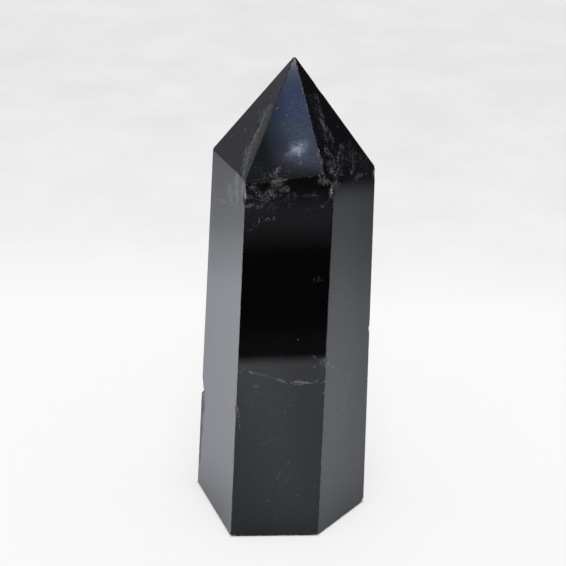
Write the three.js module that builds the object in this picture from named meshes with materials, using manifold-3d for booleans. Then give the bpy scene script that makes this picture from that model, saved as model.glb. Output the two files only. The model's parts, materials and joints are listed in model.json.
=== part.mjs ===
// A morion quartz tower: one solid black crystal, cut and polished to six sides and a six-sided point.
// It is worked as a lapidary works it. A rough block is ground flat facet by facet,
// and then takes the chips and scars that a handled crystal has along its edges.
//
// Sizes are in millimetres and angles in degrees. +Z is up and -Y is the front.
// A facing is counted round from the front towards the right, looking down at the crystal:
// 0 is the front, 90 the right, 180 the back and 270 the left.

import * as THREE from "three";
import { mergeVertices } from "three/addons/utils/BufferGeometryUtils.js";
import Module from "manifold-3d";

const wasm = await Module();
wasm.setup();

// ---------- Driving dimensions ----------

const height = 100; // from the base to where the ridges of the point would meet
const pointBlunt = 0.4; // height lost at the blunted point
const baseBevel = 0.35; // depth of the small bevel round the base
const edgeBlunt = 0.05; // depth taken off each polished edge

// The six sides. lean is how far a side tips inwards as it rises,
// and reach is its distance at the base from the upright line under the point.
const sides = {
  front: { facing: 3.8, lean: 2.7, reach: 15.39 },
  right: { facing: 51.6, lean: 1.55, reach: 15.48 },
  rightBack: { facing: 112, lean: 0.85, reach: 15.55 },
  back: { facing: 184, lean: 2, reach: 15.7 },
  leftBack: { facing: 238, lean: 1.32, reach: 17.02 },
  left: { facing: 293, lean: 2.35, reach: 15.74 },
};

// The six facets of the point. slope is each one's angle from level.
const pointFacets = {
  front: { facing: 0.4, slope: 59.6 },
  right: { facing: 51, slope: 58.6 },
  rightBack: { facing: 112, slope: 56.5 },
  back: { facing: 184, slope: 58 },
  leftBack: { facing: 238, slope: 54.3 },
  left: { facing: 292.3, slope: 59.2 },
};

// Hollows left by flakes, on the edge between two facets.
// share is the place along the edge, from 0 at its lower end to 1 at its upper end.
// aside moves the hollow off the edge, on to the facet named second, or the first if it is negative.
// length, width and depth are its size.
const uprightFlakes = [
  // the bite out of the left back edge, and the strip that broke away beside it lower down
  { between: ["leftBack", "left"], share: 0.316, aside: 0.1, length: 3.4, width: 2.2, depth: 0.4 },
  { between: ["leftBack", "left"], share: 0.305, aside: 0, length: 2, width: 2.8, depth: 1 },
  { between: ["leftBack", "left"], share: 0.26, aside: 1.25, length: 6.4, width: 2.5, depth: 0.28 },
  { between: ["leftBack", "left"], share: 0.19, aside: 1, length: 7.8, width: 2, depth: 0.2 },
  { between: ["leftBack", "left"], share: 0.11, aside: 0.75, length: 7.4, width: 1.5, depth: 0.14 },
  // bruises on the two front edges and a nick on the right back edge
  { between: ["front", "left"], share: 0.385, aside: 0.2, length: 2.4, width: 0.9, depth: 0.12 },
  { between: ["front", "left"], share: 0.97, aside: 0.5, length: 3.4, width: 1.4, depth: 0.2 },
  { between: ["front", "right"], share: 0.527, aside: 0.1, length: 2, width: 1, depth: 0.14 },
  { between: ["front", "right"], share: 0.985, aside: -0.3, length: 2.6, width: 1.8, depth: 0.26 },
  { between: ["right", "rightBack"], share: 0.55, aside: 0, length: 1.8, width: 1.4, depth: 0.3 },
  { between: ["right", "rightBack"], share: 0.99, aside: -0.4, length: 2.2, width: 1.6, depth: 0.22 },
  // wear on the hidden back edges
  { between: ["back", "leftBack"], share: 0.72, aside: 0.2, length: 3, width: 1.5, depth: 0.24 },
  { between: ["back", "leftBack"], share: 0.06, aside: 0, length: 2.8, width: 1.9, depth: 0.36 },
  { between: ["rightBack", "back"], share: 0.34, aside: -0.2, length: 4.2, width: 1.5, depth: 0.24 },
];

// Small losses on the ridges of the point.
const ridgeFlakes = [
  { between: ["front", "right"], share: 0.12, aside: 0.2, length: 2, width: 1, depth: 0.16 },
  { between: ["right", "rightBack"], share: 0.7, aside: 0.2, length: 2.4, width: 1.2, depth: 0.18 },
  { between: ["back", "leftBack"], share: 0.38, aside: 0, length: 3.2, width: 1.4, depth: 0.24 },
];

// Small losses along the shoulders, two of them at the crushed corner between the front and the right.
const shoulderFlakes = [
  { facet: "right", share: 0.06, aside: 0.3, length: 2.4, width: 1.6, depth: 0.24 },
  { facet: "right", share: 0.62, aside: 0.2, length: 2.6, width: 1, depth: 0.16 },
  { facet: "front", share: 0.97, aside: 0.1, length: 2.8, width: 1.3, depth: 0.2 },
  { facet: "front", share: 0.38, aside: 0.1, length: 3, width: 0.9, depth: 0.14 },
  { facet: "back", share: 0.45, aside: 0.1, length: 3.4, width: 1.2, depth: 0.2 },
];

// The long scar beside the front left ridge of the point, on its left facet, row by row upwards.
// share is the place along the ridge, width how far the scar reaches from the ridge,
// and depth how far its outer side is sunk. It starts at nothing on the ridge itself.
const scarBetween = ["front", "left"];
const scarRows = [
  { share: -0.04, width: 2, depth: 0.14 },
  { share: 0.045, width: 2.4, depth: 0.18 },
  { share: 0.114, width: 2.9, depth: 0.21 },
  { share: 0.2, width: 3.7, depth: 0.24 },
  { share: 0.245, width: 4.3, depth: 0.26 },
  { share: 0.334, width: 3.9, depth: 0.24 },
  { share: 0.4, width: 3.5, depth: 0.22 },
  { share: 0.425, width: 2.9, depth: 0.2 },
  { share: 0.51, width: 3.7, depth: 0.18 },
  { share: 0.545, width: 3.8, depth: 0.12 },
  { share: 0.575, width: 2, depth: 0.05 },
];
const scarLip = 1.7; // how far the scar's outer wall runs for each millimetre that it rises
const scarLap = 0.25; // how far the cut laps over the ridge
const scarRoom = 1; // height of the cut above the facet

// Tiny nicks spread along every foot, upright edge and ridge. nickDepth is below the blunted edge.
const nicksPerEdge = 4;
const nickLength = [0.6, 1.6];
const nickWidth = [0.5, 0.9];
const nickDepth = [0.04, 0.12];
const nickSeed = 71;

// How finely the ball behind each kind of hollow is faceted.
const flakeRoundness = 3;
const nickRoundness = 1;

// ---------- Planes, corners and edges ----------

const order = Object.keys(sides);
const up = new THREE.Vector3(0, 0, 1);
const point = new THREE.Vector3(0, 0, height);
const floor = new THREE.Plane(new THREE.Vector3(0, 0, -1), 0);

function nextTo(name) {
  return order[(order.indexOf(name) + 1) % order.length];
}

// The outward direction of a facet that looks along facing and is turned up from level by rise.
function outward(facing, rise) {
  const round = THREE.MathUtils.degToRad(facing);
  const lift = THREE.MathUtils.degToRad(rise);
  return new THREE.Vector3(
    Math.sin(round) * Math.cos(lift),
    -Math.cos(round) * Math.cos(lift),
    Math.sin(lift),
  );
}

function sidePlane(name) {
  const { facing, lean, reach } = sides[name];
  const foot = outward(facing, 0).multiplyScalar(reach);
  return new THREE.Plane().setFromNormalAndCoplanarPoint(outward(facing, lean), foot);
}

function pointPlane(name) {
  const { facing, slope } = pointFacets[name];
  return new THREE.Plane().setFromNormalAndCoplanarPoint(outward(facing, 90 - slope), point);
}

// The corner where three planes meet.
function corner(...planes) {
  const [a, b, c] = planes.map((plane) => plane.normal);
  const rows = new THREE.Matrix3().set(a.x, a.y, a.z, b.x, b.y, b.z, c.x, c.y, c.z);
  const offsets = new THREE.Vector3(...planes.map((plane) => -plane.constant));
  return offsets.applyMatrix3(rows.invert());
}

// An edge between two facets: its ends, and the planes on either side of it.
function edgeOf(first, second, from, to) {
  return { first, second, from, to };
}

// The upright edge between two neighbouring sides, from its foot to its shoulder.
function uprightEdge(one, other) {
  const first = sidePlane(one);
  const second = sidePlane(other);
  const shoulders = [one, other].map((name) => corner(first, second, pointPlane(name)));
  const lowest = shoulders[0].z < shoulders[1].z ? shoulders[0] : shoulders[1];
  return edgeOf(first, second, corner(first, second, floor), lowest);
}

// The ridge between two facets of the point, from its shoulder to the point.
function ridgeEdge(one, other) {
  const first = pointPlane(one);
  const second = pointPlane(other);
  const shoulders = [one, other].map((name) => corner(first, second, sidePlane(name)));
  const highest = shoulders[0].z > shoulders[1].z ? shoulders[0] : shoulders[1];
  return edgeOf(first, second, highest, point);
}

// The shoulder edge between a side and the facet above it, from its left end to its right end.
function shoulderEdge(name) {
  const side = sidePlane(name);
  const facet = pointPlane(name);
  const before = order[(order.indexOf(name) + order.length - 1) % order.length];
  const left = corner(side, facet, sidePlane(before));
  const right = corner(side, facet, sidePlane(nextTo(name)));
  return edgeOf(side, facet, left, right);
}

// The edge between a side and the base, from its left end to its right end.
function footEdge(name) {
  const side = sidePlane(name);
  const before = order[(order.indexOf(name) + order.length - 1) % order.length];
  const left = corner(side, floor, sidePlane(before));
  const right = corner(side, floor, sidePlane(nextTo(name)));
  return edgeOf(floor, side, left, right);
}

// ---------- Cutting ----------

// A three.js geometry, placed by a matrix, as a solid that can be cut.
function solidOf(geometry, matrix) {
  const bare = geometry.clone().applyMatrix4(matrix);
  bare.deleteAttribute("normal");
  bare.deleteAttribute("uv");
  const merged = mergeVertices(bare, 1e-4);
  const mesh = new wasm.Mesh({
    numProp: 3,
    vertProperties: merged.attributes.position.array,
    triVerts: new Uint32Array(merged.index.array),
  });
  return new wasm.Manifold(mesh);
}

// Everything outside a plane, as a thick slab lying on it and sunk by depth into what is cut.
function slabOn(plane, depth = 0) {
  const span = 3 * height;
  const turn = new THREE.Quaternion().setFromUnitVectors(up, plane.normal);
  const middle = plane.coplanarPoint(new THREE.Vector3());
  middle.addScaledVector(plane.normal, span / 2 - depth);
  const matrix = new THREE.Matrix4().compose(middle, turn, new THREE.Vector3(1, 1, 1));
  return solidOf(new THREE.BoxGeometry(span, span, span), matrix);
}

// The plane that touches an edge and lies equally over the facets on either side of it.
function bluntPlane(edge) {
  const normal = edge.first.normal.clone().add(edge.second.normal).normalize();
  return new THREE.Plane().setFromNormalAndCoplanarPoint(normal, edge.from);
}

// The hollow that a flake leaves: a shallow bite of a stretched ball, on an edge or just beside it.
function flakeOn(edge, { share, aside, length, width, depth }, roundness) {
  const [facet, other] = aside < 0 ? [edge.first, edge.second] : [edge.second, edge.first];
  const along = edge.to.clone().sub(edge.from).normalize();
  const inward = new THREE.Vector3().crossVectors(facet.normal, along);
  inward.multiplyScalar(-Math.sign(inward.dot(other.normal)));

  // A hollow on the edge faces midway between the facets, and one clear of it faces as its own facet.
  const clear = Math.min(1, (2 * Math.abs(aside)) / width);
  const out = facet.normal.clone().add(other.normal).normalize().lerp(facet.normal, clear);
  out.normalize();

  const radius = (width * width) / (8 * depth) + depth / 2;
  const centre = edge.from.clone().lerp(edge.to, share);
  centre.addScaledVector(inward, Math.abs(aside)).addScaledVector(out, radius - depth);
  const across = new THREE.Vector3().crossVectors(out, along).multiplyScalar(radius);
  along.multiplyScalar((radius * length) / width);
  out.multiplyScalar(radius);
  const matrix = new THREE.Matrix4().makeBasis(along, across, out).setPosition(centre);
  return solidOf(new THREE.IcosahedronGeometry(1, roundness), matrix);
}

// A row of the scar's cut across the ridge: down the sunk floor, up the outer wall and back over.
function scarRing(edge, { share, width, depth }) {
  const normal = edge.second.normal;
  const along = edge.to.clone().sub(edge.from).normalize();
  const inward = new THREE.Vector3().crossVectors(normal, along);
  inward.multiplyScalar(-Math.sign(inward.dot(edge.first.normal)));
  const profile = [
    [-scarLap, 0.01],
    [0.5 * width, -0.7 * depth],
    [width, -depth],
    [width + scarLip * (depth + scarRoom), scarRoom],
    [-scarLap, scarRoom],
  ];
  const start = edge.from.clone().lerp(edge.to, share);
  return profile.map(([aside, rise]) =>
    start.clone().addScaledVector(inward, aside).addScaledVector(normal, rise),
  );
}

// The scar's rings joined into one closed solid.
function scarOn(edge, rows) {
  const rings = rows.map((row) => scarRing(edge, row));
  const size = rings[0].length;
  const faces = [];
  for (let ring = 0; ring + 1 < rings.length; ring += 1) {
    for (let step = 0; step < size; step += 1) {
      const a = ring * size + step;
      const b = ring * size + ((step + 1) % size);
      faces.push(a, b, a + size, b, b + size, a + size);
    }
  }
  const last = (rings.length - 1) * size;
  for (let step = 1; step + 1 < size; step += 1) {
    faces.push(0, step + 1, step);
    faces.push(last, last + step, last + step + 1);
  }
  const geometry = new THREE.BufferGeometry().setFromPoints(rings.flat());
  geometry.setIndex(faces);
  return solidOf(geometry, new THREE.Matrix4());
}

function randomBetween([low, high]) {
  return low + (high - low) * THREE.MathUtils.seededRandom();
}

// ---------- The crystal ----------

// The six sides and six point facets, ground flat into a rough block.
function polishedForm() {
  const rough = new THREE.BoxGeometry(height, height, height);
  let solid = solidOf(rough, new THREE.Matrix4().makeTranslation(0, 0, height / 2));
  for (const name of order) {
    solid = solid.subtract(slabOn(sidePlane(name)));
    solid = solid.subtract(slabOn(pointPlane(name)));
  }
  return solid;
}

// The sharp edges taken off by hand: a hair off each polished edge, and more round the base.
function bluntEdges(solid) {
  for (const name of order) {
    const polished = [uprightEdge(name, nextTo(name)), ridgeEdge(name, nextTo(name)), shoulderEdge(name)];
    for (const edge of polished) {
      solid = solid.subtract(slabOn(bluntPlane(edge), edgeBlunt));
    }
    solid = solid.subtract(slabOn(bluntPlane(footEdge(name)), baseBevel));
  }
  const top = new THREE.Plane().setFromNormalAndCoplanarPoint(up, point);
  return solid.subtract(slabOn(top, pointBlunt));
}

// The larger chips and scars, each in its place.
function chipEdges(solid) {
  for (const flake of uprightFlakes) {
    solid = solid.subtract(flakeOn(uprightEdge(...flake.between), flake, flakeRoundness));
  }
  for (const flake of ridgeFlakes) {
    solid = solid.subtract(flakeOn(ridgeEdge(...flake.between), flake, flakeRoundness));
  }
  for (const flake of shoulderFlakes) {
    solid = solid.subtract(flakeOn(shoulderEdge(flake.facet), flake, flakeRoundness));
  }
  return solid.subtract(scarOn(ridgeEdge(...scarBetween), scarRows));
}

// One tiny nick somewhere along an edge that has already been blunted.
function randomNick(blunted) {
  return {
    share: randomBetween([0.04, 0.96]),
    aside: 0,
    length: randomBetween(nickLength),
    width: randomBetween(nickWidth),
    depth: blunted + randomBetween(nickDepth),
  };
}

// The fine wear, spread at random along the edges.
function nickEdges(solid) {
  THREE.MathUtils.seededRandom(nickSeed);
  for (const name of order) {
    const worn = [
      { edge: footEdge(name), blunted: baseBevel },
      { edge: uprightEdge(name, nextTo(name)), blunted: edgeBlunt },
      { edge: ridgeEdge(name, nextTo(name)), blunted: edgeBlunt },
    ];
    for (const { edge, blunted } of worn) {
      for (let count = 0; count < nicksPerEdge; count += 1) {
        solid = solid.subtract(flakeOn(edge, randomNick(blunted), nickRoundness));
      }
    }
  }
  return solid;
}

// A cut solid as a three.js geometry with flat facets.
function geometryOf(solid) {
  const { vertProperties, triVerts } = solid.getMesh();
  const shared = new THREE.BufferGeometry();
  shared.setAttribute("position", new THREE.BufferAttribute(vertProperties, 3));
  shared.setIndex(new THREE.BufferAttribute(triVerts, 1));
  const faceted = shared.toNonIndexed();
  faceted.computeVertexNormals();
  return faceted;
}

const morion = new THREE.MeshStandardMaterial({
  name: "morion",
  color: 0x0d0c0f,
  roughness: 0.1,
  metalness: 0,
});

const geometry = geometryOf(nickEdges(chipEdges(bluntEdges(polishedForm()))));

// The origin is the middle of the base, as the crystal stands.
geometry.computeBoundingBox();
const middle = geometry.boundingBox.getCenter(new THREE.Vector3());
geometry.translate(-middle.x, -middle.y, -geometry.boundingBox.min.z);

const crystal = new THREE.Mesh(geometry, morion);
crystal.name = "crystal";

const group = new THREE.Group();
group.name = "morion-quartz-tower";
group.add(crystal);

export default group;
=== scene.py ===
import json
import math
import random

import bpy
from mathutils import Matrix, Quaternion, Vector, noise

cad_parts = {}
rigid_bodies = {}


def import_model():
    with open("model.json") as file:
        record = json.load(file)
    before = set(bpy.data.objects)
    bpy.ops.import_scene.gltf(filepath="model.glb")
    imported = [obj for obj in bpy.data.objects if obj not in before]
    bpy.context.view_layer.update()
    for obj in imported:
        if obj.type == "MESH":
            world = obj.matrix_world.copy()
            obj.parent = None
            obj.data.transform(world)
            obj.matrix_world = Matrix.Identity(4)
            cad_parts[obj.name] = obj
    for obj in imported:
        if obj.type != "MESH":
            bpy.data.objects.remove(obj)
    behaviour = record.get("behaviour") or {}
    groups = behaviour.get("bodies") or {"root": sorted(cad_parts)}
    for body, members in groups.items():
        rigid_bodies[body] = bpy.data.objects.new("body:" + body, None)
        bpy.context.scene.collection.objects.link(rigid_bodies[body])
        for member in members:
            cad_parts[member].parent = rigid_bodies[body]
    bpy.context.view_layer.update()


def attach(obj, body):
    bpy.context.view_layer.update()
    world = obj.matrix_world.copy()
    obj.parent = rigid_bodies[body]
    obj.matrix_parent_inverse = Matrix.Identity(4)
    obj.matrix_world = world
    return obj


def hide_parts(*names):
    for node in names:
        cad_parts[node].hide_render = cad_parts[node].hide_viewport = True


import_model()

scene = bpy.context.scene

# Pieces are shaped in millimetres over the spot right under the point,
# then moved to the middle of the base and scaled to metres.
millimetre = 0.001
baseMiddle = Vector((0.2553, -0.1736, 0.0))
up = Vector((0, 0, 1))
fullTurn = 6.28


def deselectAll():
    if bpy.context.object and bpy.context.object.mode != "OBJECT":
        bpy.ops.object.mode_set(mode="OBJECT")
    bpy.ops.object.select_all(action="DESELECT")


def makeActive(piece):
    deselectAll()
    piece.select_set(True)
    bpy.context.view_layer.objects.active = piece


def applyModifiers(piece):
    makeActive(piece)
    for modifier in list(piece.modifiers):
        bpy.ops.object.modifier_apply(modifier=modifier.name)


def applyPlace(piece):
    makeActive(piece)
    bpy.ops.object.transform_apply(location=True, rotation=True, scale=True)


def removePiece(piece):
    mesh = piece.data
    bpy.data.objects.remove(piece)
    if mesh.users == 0:
        bpy.data.meshes.remove(mesh)


def finishPiece(piece):
    # from millimetres under the point to metres in the part's own frame
    piece.matrix_world = Matrix.Scale(millimetre, 4) @ Matrix.Translation(baseMiddle)
    applyPlace(piece)
    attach(piece, "root")


# The cut of the crystal. A side is facing, lean and reach: facing is counted round from the front
# towards the right in degrees, lean is how far it tips in as it rises, reach is its distance at
# the base. A point facet is facing and slope, its angle from level.
crystalCut = {
    "height": 100.0,
    "pointBlunt": 0.4,
    "baseBevel": 0.2,
    "arrisBevel": 0.1,
    "bevelSteps": 3,
    "sides": {
        "front": (3.8, 2.7, 15.39),
        "right": (51.5, 1.6, 15.47),
        "rightBack": (112, 0.72, 15.76),
        "back": (184, 2, 15.7),
        "leftBack": (238, 1.32, 17.2),
        "left": (293, 2.35, 15.74),
    },
    "pointFacets": {
        "front": (-0.5, 59.8),
        "right": (53.8, 58.65),
        "rightBack": (112.2, 55.8),
        "back": (184, 58),
        "leftBack": (237.9, 53.85),
        "left": (291.3, 59.07),
    },
}
order = list(crystalCut["sides"])
point = Vector((0, 0, crystalCut["height"]))
floorPlane = (Vector((0, 0, 0)), Vector((0, 0, -1)))


def outward(facing, rise):
    a, b = math.radians(facing), math.radians(rise)
    return Vector((math.sin(a) * math.cos(b), -math.cos(a) * math.cos(b), math.sin(b)))


def sidePlane(name):
    facing, lean, reach = crystalCut["sides"][name]
    return outward(facing, 0) * reach, outward(facing, lean)


def pointPlane(name):
    facing, slope = crystalCut["pointFacets"][name]
    return point, outward(facing, 90 - slope)


planes = {name: sidePlane(name) for name in order}
planes.update({name + "Point": pointPlane(name) for name in order})


def corner(*three):
    rows = Matrix([normal for _, normal in three])
    return rows.inverted() @ Vector([place.dot(normal) for place, normal in three])


def nextTo(name, step=1):
    return order[(order.index(name) + step) % len(order)]


def uprightEdge(one, other):
    a, b = planes[one], planes[other]
    shoulders = [corner(a, b, planes[name + "Point"]) for name in (one, other)]
    return a, b, corner(a, b, floorPlane), min(shoulders, key=lambda p: p.z)


def ridgeEdge(one, other):
    a, b = planes[one + "Point"], planes[other + "Point"]
    shoulders = [corner(a, b, planes[name]) for name in (one, other)]
    return a, b, max(shoulders, key=lambda p: p.z), point


def shoulderEdge(name):
    a, b = planes[name], planes[name + "Point"]
    return a, b, corner(a, b, planes[nextTo(name, -1)]), corner(a, b, planes[nextTo(name)])


def footEdge(name):
    a = planes[name]
    before, after = planes[nextTo(name, -1)], planes[nextTo(name)]
    return floorPlane, a, corner(a, floorPlane, before), corner(a, floorPlane, after)


def bisectAt(place, normal, fill=True):
    bpy.ops.mesh.select_all(action="SELECT")
    bpy.ops.mesh.bisect(
        plane_co=place, plane_no=normal, use_fill=fill, clear_outer=True, threshold=0.00001
    )


def grindCrystal():
    deselectAll()
    size = crystalCut["height"]
    bpy.ops.mesh.primitive_cube_add(size=size, location=(0, 0, size / 2))
    crystal = bpy.context.object
    crystal.name = "morionCrystal"
    applyPlace(crystal)
    bpy.ops.object.mode_set(mode="EDIT")
    for place, normal in planes.values():
        bisectAt(place, normal)
    bisectAt(point - up * crystalCut["pointBlunt"], up)
    bpy.ops.object.mode_set(mode="OBJECT")

    # the base gets a wider bevel than the polished arrises
    weights = crystal.data.attributes.new("bevel_weight_edge", "FLOAT", "EDGE")
    corners = crystal.data.vertices
    share = crystalCut["arrisBevel"] / crystalCut["baseBevel"]
    for edge in crystal.data.edges:
        atBase = all(corners[v].co.z < crystalCut["arrisBevel"] for v in edge.vertices)
        weights.data[edge.index].value = 1.0 if atBase else share
    bevel = crystal.modifiers.new("arrises", "BEVEL")
    bevel.limit_method = "WEIGHT"
    bevel.width = crystalCut["baseBevel"]
    bevel.segments = crystalCut["bevelSteps"]
    applyModifiers(crystal)
    return crystal


def newFinish(name):
    finish = bpy.data.materials.new(name)
    finish.use_nodes = True
    return finish, finish.node_tree.nodes, finish.node_tree.links


def noiseAt(nodes, links, where, scale, detail, roughness, stretch=(1, 1, 1), turn=(0, 0, 0)):
    place = nodes.new("ShaderNodeMapping")
    place.inputs["Scale"].default_value = stretch
    place.inputs["Rotation"].default_value = turn
    links.new(where, place.inputs["Vector"])
    noise = nodes.new("ShaderNodeTexNoise")
    noise.inputs["Scale"].default_value = scale
    noise.inputs["Detail"].default_value = detail
    noise.inputs["Roughness"].default_value = roughness
    links.new(place.outputs["Vector"], noise.inputs["Vector"])
    return noise.outputs["Fac"]


def remap(nodes, links, value, low, high, toLow, toHigh):
    node = nodes.new("ShaderNodeMapRange")
    node.clamp = True
    for socket, number in zip(node.inputs[1:5], (low, high, toLow, toHigh)):
        socket.default_value = number
    links.new(value, node.inputs["Value"])
    return node.outputs["Result"]


def combine(nodes, links, kind, a, b):
    node = nodes.new("ShaderNodeMath")
    node.operation = kind
    for socket, value in zip(node.inputs, (a, b)):
        if isinstance(value, (int, float)):
            socket.default_value = value
        else:
            links.new(value, socket)
    return node.outputs["Value"]


def mixColour(nodes, links, factor, first, second):
    node = nodes.new("ShaderNodeMix")
    node.data_type = "RGBA"
    links.new(factor, node.inputs["Factor"])
    for socket, value in zip((node.inputs["A"], node.inputs["B"]), (first, second)):
        if isinstance(value, tuple):
            socket.default_value = (*value, 1)
        else:
            links.new(value, socket)
    return node.outputs["Result"]


def rampOf(nodes, links, value, stops):
    node = nodes.new("ShaderNodeValToRGB")
    links.new(value, node.inputs["Fac"])
    ramp = node.color_ramp
    while len(ramp.elements) < len(stops):
        ramp.elements.new(0.5)
    for element, (spot, tone) in zip(ramp.elements, stops):
        element.position = spot
        element.color = (*tone, 1) if isinstance(tone, tuple) else (tone, tone, tone, 1)
    return node.outputs["Color"]


# The stone itself. Each noise is its scale, detail and roughness, and its span is the part of
# it that counts.
morionLook = {
    "refraction": 1.544,
    "smokeThin": (0.62, 0.59, 0.58),  # tint of the stone right under the polish
    "smokeThick": (0.5, 0.47, 0.46),
    "absorbColour": (0.31, 0.28, 0.265, 1),
    "absorbDensity": 1900,
    "bands": (90, 4, 0.55),
    "bandStretch": (1, 1, 2.6),
    "bandTurn": (0.5, 0.3, 0),
    "smears": (140, 3, 0.6),
    "grain": (2600, 5, 0.65),
    "waves": (110, 1, 0.4),
    "smearSpan": (0.35, 0.7),
    "polishRoughness": (0.015, 0.05),
    "grainSpan": (0.3, 0.7),
    "brokenRoughness": 0.34,
    "brokenSpread": (0.6, 1.25),  # share of it, from the smoothest grain to the roughest
    "waveBump": 0.12,
    "grainBump": 0.5,
    "bumpStrength": 0.35,
    "bumpDistance": 0.00006,
}


def makePolishedStone():
    look = morionLook
    finish, nodes, links = newFinish("polishedMorion")
    stone = nodes["Principled BSDF"]
    stone.inputs["Transmission Weight"].default_value = 1.0
    stone.inputs["IOR"].default_value = look["refraction"]
    here = nodes.new("ShaderNodeTexCoord").outputs["Object"]

    # smoky growth bands, so the body is never one even tint
    bands = noiseAt(nodes, links, here, *look["bands"], look["bandStretch"], look["bandTurn"])
    tint = mixColour(nodes, links, bands, look["smokeThin"], look["smokeThick"])
    links.new(tint, stone.inputs["Base Color"])

    chipped = nodes.new("ShaderNodeAttribute")
    chipped.attribute_name = "chipped"
    broken = chipped.outputs["Fac"]

    # the hand polish is a little uneven, and broken faces are rough
    smears = noiseAt(nodes, links, here, *look["smears"])
    polish = remap(nodes, links, smears, *look["smearSpan"], *look["polishRoughness"])
    grain = noiseAt(nodes, links, here, *look["grain"])
    spread = remap(nodes, links, grain, *look["grainSpan"], *look["brokenSpread"])
    crushed = combine(nodes, links, "MULTIPLY", spread, look["brokenRoughness"])
    both = nodes.new("ShaderNodeMix")
    links.new(broken, both.inputs["Factor"])
    links.new(polish, both.inputs["A"])
    links.new(crushed, both.inputs["B"])
    links.new(both.outputs["Result"], stone.inputs["Roughness"])

    # slow waves all over the polish, and grain on the broken faces alone
    waves = noiseAt(nodes, links, here, *look["waves"])
    slow = combine(nodes, links, "MULTIPLY", waves, look["waveBump"])
    crumbs = combine(nodes, links, "MULTIPLY", grain, broken)
    rough = combine(nodes, links, "MULTIPLY", crumbs, look["grainBump"])
    height = combine(nodes, links, "ADD", slow, rough)
    bump = nodes.new("ShaderNodeBump")
    bump.inputs["Strength"].default_value = look["bumpStrength"]
    bump.inputs["Distance"].default_value = look["bumpDistance"]
    links.new(height, bump.inputs["Height"])
    links.new(bump.outputs["Normal"], stone.inputs["Normal"])

    smoke = nodes.new("ShaderNodeVolumeAbsorption")
    smoke.inputs["Color"].default_value = look["absorbColour"]
    smoke.inputs["Density"].default_value = look["absorbDensity"]
    links.new(smoke.outputs["Volume"], nodes["Material Output"].inputs["Volume"])
    return finish


# The healed cracks. Each finish is its two tints and its roughness.
veilPaint = {
    "refraction": 1.3,
    "patches": (700, 3, 0.6),
    "patchSpan": (0.38, 0.62),
    "fine": (5200, 2, 0.5),
    "fineSpan": (0.3, 0.7),
    "roughnessSpread": 0.15,
    "finishes": {
        "pale": ((0.79, 0.89, 1.0), (0.8, 0.82, 0.9), 0.5),
        "rusty": ((0.82, 0.74, 0.84), (0.82, 0.81, 0.9), 0.55),
        "tan": ((0.74, 0.76, 0.58), (0.84, 0.84, 0.72), 0.55),
    },
}


def makeVeilFinish(name, pale, warm, roughness):
    look = veilPaint
    finish, nodes, links = newFinish(name)
    veil = nodes["Principled BSDF"]
    veil.inputs["IOR"].default_value = look["refraction"]
    here = nodes.new("ShaderNodeTexCoord").outputs["Object"]
    patches = noiseAt(nodes, links, here, *look["patches"])
    warmth = remap(nodes, links, patches, *look["patchSpan"], 0, 1)
    links.new(mixColour(nodes, links, warmth, pale, warm), veil.inputs["Base Color"])
    fine = noiseAt(nodes, links, here, *look["fine"])
    smoothest, roughest = (roughness + s * look["roughnessSpread"] for s in (-1, 1))
    uneven = remap(nodes, links, fine, *look["fineSpan"], smoothest, roughest)
    links.new(uneven, veil.inputs["Roughness"])
    return finish


polishedStone = makePolishedStone()
brokenStone = bpy.data.materials.new("brokenMark")  # only marks the cut faces, then goes
veilFinishes = {
    name: makeVeilFinish(name + "Veil", *paint) for name, paint in veilPaint["finishes"].items()
}


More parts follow.
